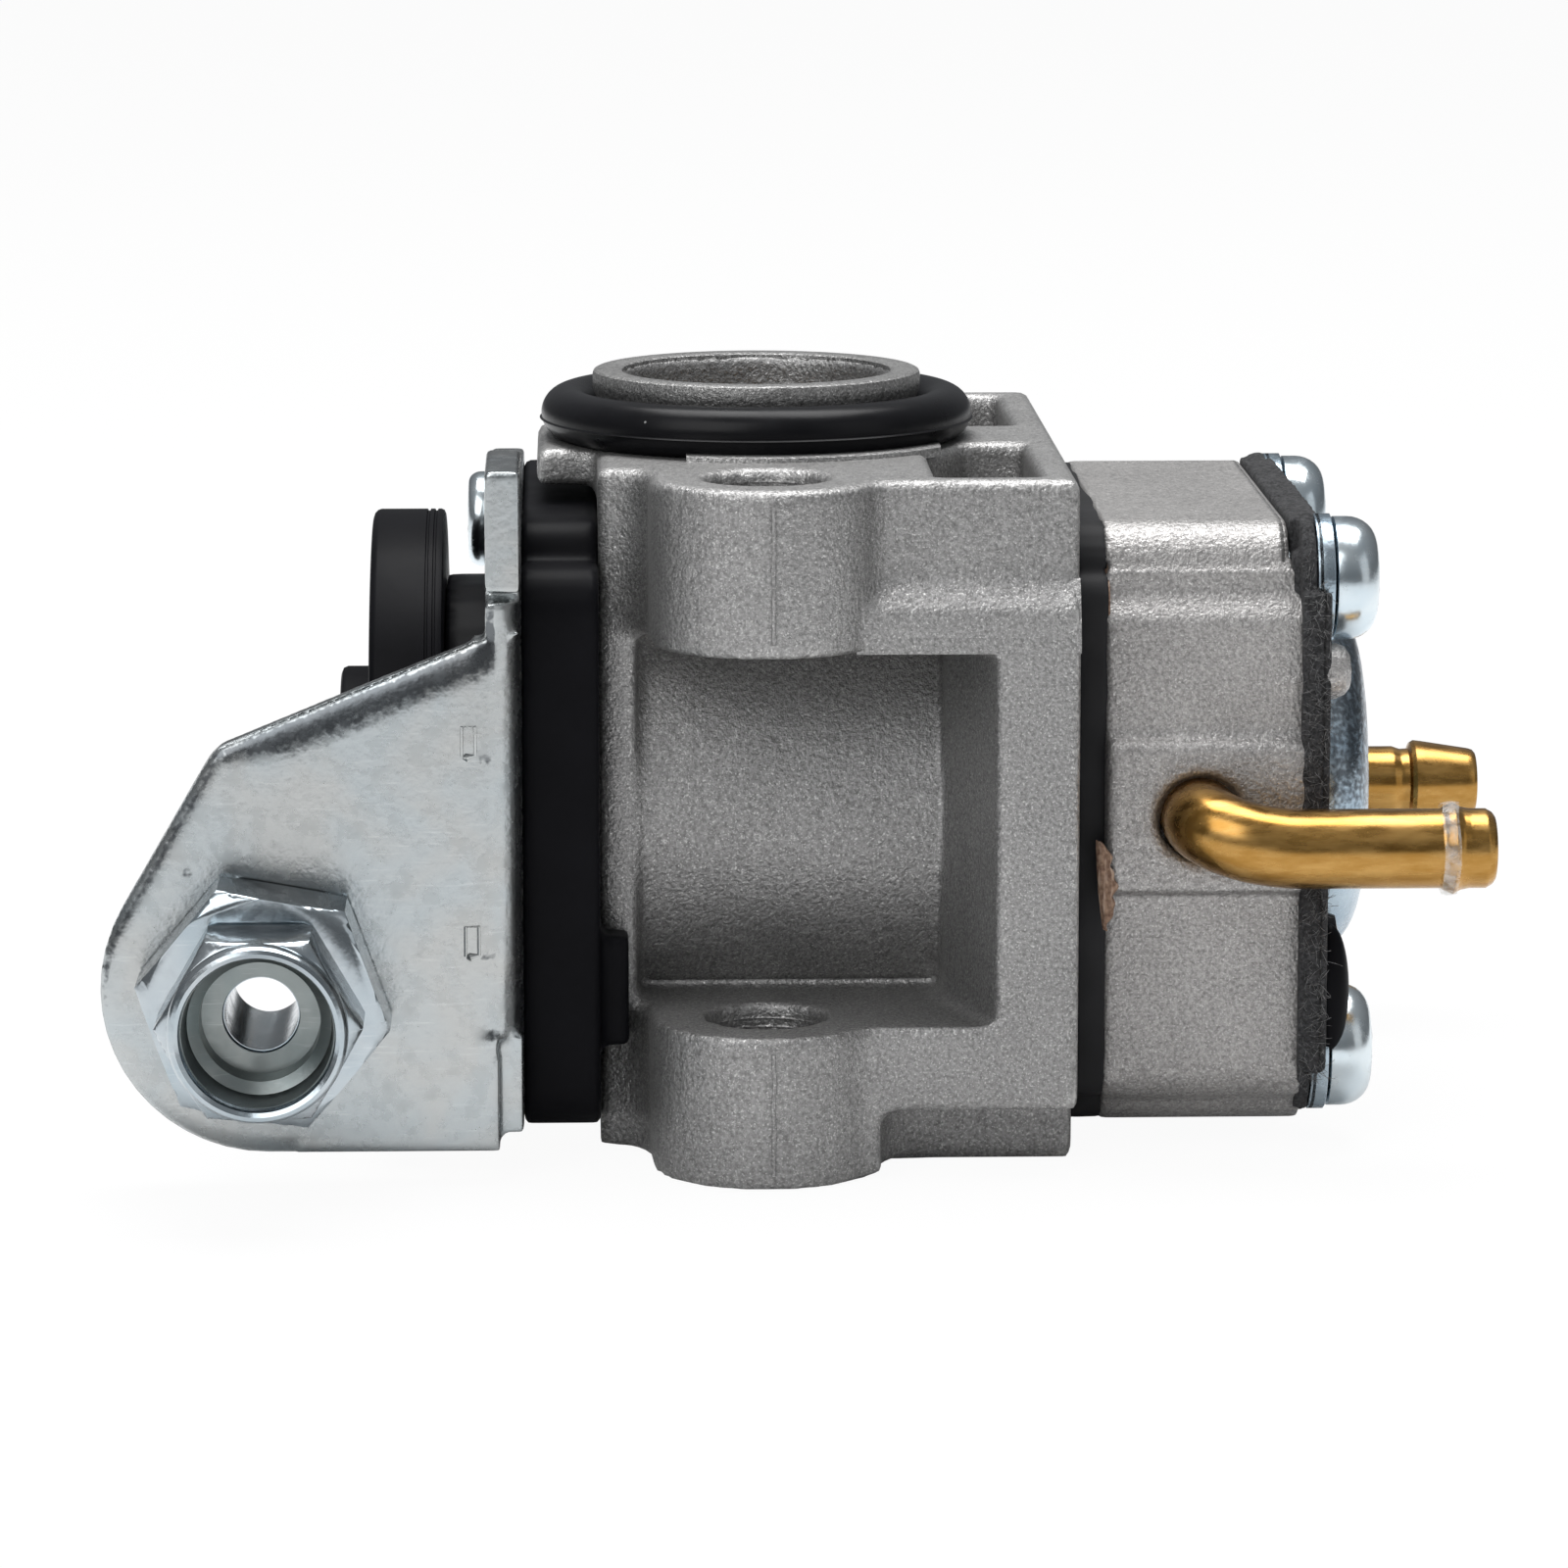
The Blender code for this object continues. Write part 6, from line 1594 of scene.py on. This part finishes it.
def elbows():
    """The two fuel elbows, and the clear ring round the near one's bead."""
    near = (*NEAR_TIP, *NEAR_BEAD, PIPE_FAR)
    far = (*FAR_TIP, *FAR_BEAD, PIPE_FAR)
    tip = elbow("near_elbow", "fuel_inlet_elbow", -1, near, NEAR_RISE, NEAR_TRIM)
    elbow("far_elbow", "fuel_return_elbow", 1, far, 0.0, 0.0)
    profile = []
    for share in evenly(0, 1, 12):
        along = tip.x - CLEAR_BACK + CLEAR_LONG * share
        profile.append((along, CLEAR_R + CLEAR_BULGE * math.sin(math.pi * share)))
    profile += [(along, radius - CLEAR_THICK) for along, radius in reversed(profile)]
    ring = lathe("x", tip.yz, profile, MEDIUM)
    for vert in ring.verts:
        push = CLEAR_DENT * noise.noise(vert.co * 1.1)
        vert.co.x += CLEAR_SLIP * noise.noise(Vector((vert.co.y, vert.co.z, 3)) * 0.5)
        vert.co.y += push
        vert.co.z += push
    piece("clear_ring", ring, CLEAR, "body")


# Springs: joint, wire radius, turns and how far the spring is pressed
SPRINGS = {
    "return_spring": ("barrel_lift", 0.45, 3, 1.65),
    "metering_spring": ("diaphragm_stroke", 0.2, 4, 0.9),
}

# Nodes that keep their CAD shape and get their finish here
KEPT = (
    (BRASS, ("throttle_barrel", "fuel_needle", "main_nozzle", "needle_seat")),
    (RUBBER, ("nozzle_seal", "stem_seal")),
    (STEEL, ("thrust_washer", "inlet_strainer", "metering_lever", "lever_pin", "pin_screw")),
    (STEEL, ("inlet_needle", "diaphragm_button")),
)


def springs():
    """The two springs, wound as coils in place of their CAD nodes."""
    for node, (joint, wire, turns, pressed) in SPRINGS.items():
        low, high = span(node)
        middle = (low + high) / 2
        radius = (high.y - low.y) / 2 - wire
        shape = wound("x", middle.yz, low.x + wire, high.x - wire, radius, wire, turns, 10, STEEL)
        made = piece(node.replace("_", "_coil_"), shape, STEEL, "body", [node])
        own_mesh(made)


def kept_nodes():
    for material, nodes in KEPT:
        for node in nodes:
            data = frame["nodes"][node].data
            data.materials.clear()
            data.materials.append(material)


# Studio
WHITE = (1, 1, 1, 1)
FLOOR_COLOUR = (0.82, 0.82, 0.82, 1)
FLOOR_HALF = 1.5
FLOOR_GAP = 0.00005
FLOOR_GLOW = 0.95
SKY_LOW = (0.06, 0.063, 0.067, 1)
SKY_HIGH = (0.31, 0.32, 0.33, 1)

# Lights: place, aim, size and power
LIGHTS = {
    "key": ((-0.25, -0.38, 0.37), (0, 0, 0.015), (0.42, 0.42), 1.56),
    "top": ((0.02, 0.10, 0.5), (0, 0, 0.01), (0.45, 0.3), 3.4),
    "fill": ((0.38, -0.25, 0.18), (0, 0, 0.015), (0.25, 0.35), 0.15),
}


def area_light(name, place_at, aim, size, power):
    lamp = bpy.data.lights.new(name, "AREA")
    lamp.shape = "RECTANGLE"
    lamp.size, lamp.size_y = size
    lamp.energy = power
    made = linked(name, lamp)
    made.location = Vector(place_at)
    made.rotation_euler = (Vector(aim) - Vector(place_at)).to_track_quat("-Z", "Y").to_euler()


def seen_directly(tree):
    """1 where the camera looks straight at a surface, or through something clear."""
    path = tree.nodes.new("ShaderNodeLightPath").outputs
    return maths(tree, "MAXIMUM", path["Is Camera Ray"], path["Is Transmission Ray"])


def studio_floor():
    """A floor that shows nearly plain white to the camera and keeps a faint shadow."""
    material, tree, shader, _ = new_finish("studio floor")
    feed(tree, shader, {"Base Color": FLOOR_COLOUR, "Roughness": 0.9})
    glow = place(tree, "ShaderNodeEmission", {"Color": WHITE, "Strength": 1.0}).outputs[0]
    share = times(tree, seen_directly(tree), FLOOR_GLOW)
    mixed = place(tree, "ShaderNodeMixShader", {0: share, 1: shader.outputs[0], 2: glow})
    feed(tree, tree.nodes["Material Output"], {"Surface": mixed.outputs[0]})
    bm = bmesh.new()
    bmesh.ops.create_grid(bm, x_segments=1, y_segments=1, size=FLOOR_HALF)
    mesh = mesh_from(bm, "studio_floor")
    mesh.materials.append(material)
    floor = linked("studio_floor", mesh)
    floor.location.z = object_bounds()[0][2] - FLOOR_GAP
    floor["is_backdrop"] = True


def studio():
    studio_floor()
    world = bpy.data.worlds.new("studio")
    world.use_nodes = True
    tree = world.node_tree
    facing = tree.nodes.new("ShaderNodeTexCoord").outputs["Generated"]
    height = place(tree, "ShaderNodeSeparateXYZ", {"Vector": facing}).outputs["Z"]
    tone = blended(tree, scaled(tree, height, -0.3, 0.7), SKY_LOW, SKY_HIGH)
    sky = blended(tree, seen_directly(tree), tone, WHITE)
    feed(tree, tree.nodes["Background"], {"Color": sky, "Strength": 1.0})
    bpy.context.scene.world = world
    for name, settings in LIGHTS.items():
        area_light(name, *settings)


def camera():
    lens = bpy.data.cameras.new("camera")
    lens.sensor_width = SENSOR
    lens.lens = FOCAL_PX / PICTURE * SENSOR
    lens.clip_start = 0.01
    made = linked("camera", lens)
    forward = Vector((math.sin(YAW) * math.cos(PITCH), math.cos(YAW) * math.cos(PITCH), -math.sin(PITCH)))
    right = Vector((math.cos(YAW), -math.sin(YAW), 0))
    turn = Matrix((right, right.cross(forward), -forward)).transposed()
    made.matrix_world = Matrix.Translation(TO_WORLD @ EYE) @ turn.to_4x4()
    bpy.context.scene.camera = made


cast_body()
ledges()
parting_ridges()
bolt_hole_rings()
pump_side_casting()
spigot()
bracket()
punch_ticks()
lock_nut()
adjuster()
adjuster_thread()
idle_screw_set()
pan_screws()
lever()
swivel()
cover()
pump_gasket()
metering_gasket()
metering_skin()
torn_film()
lid()
elbows()
springs()
kept_nodes()
studio()
camera()

bpy.context.scene.view_settings.view_transform = "Standard"
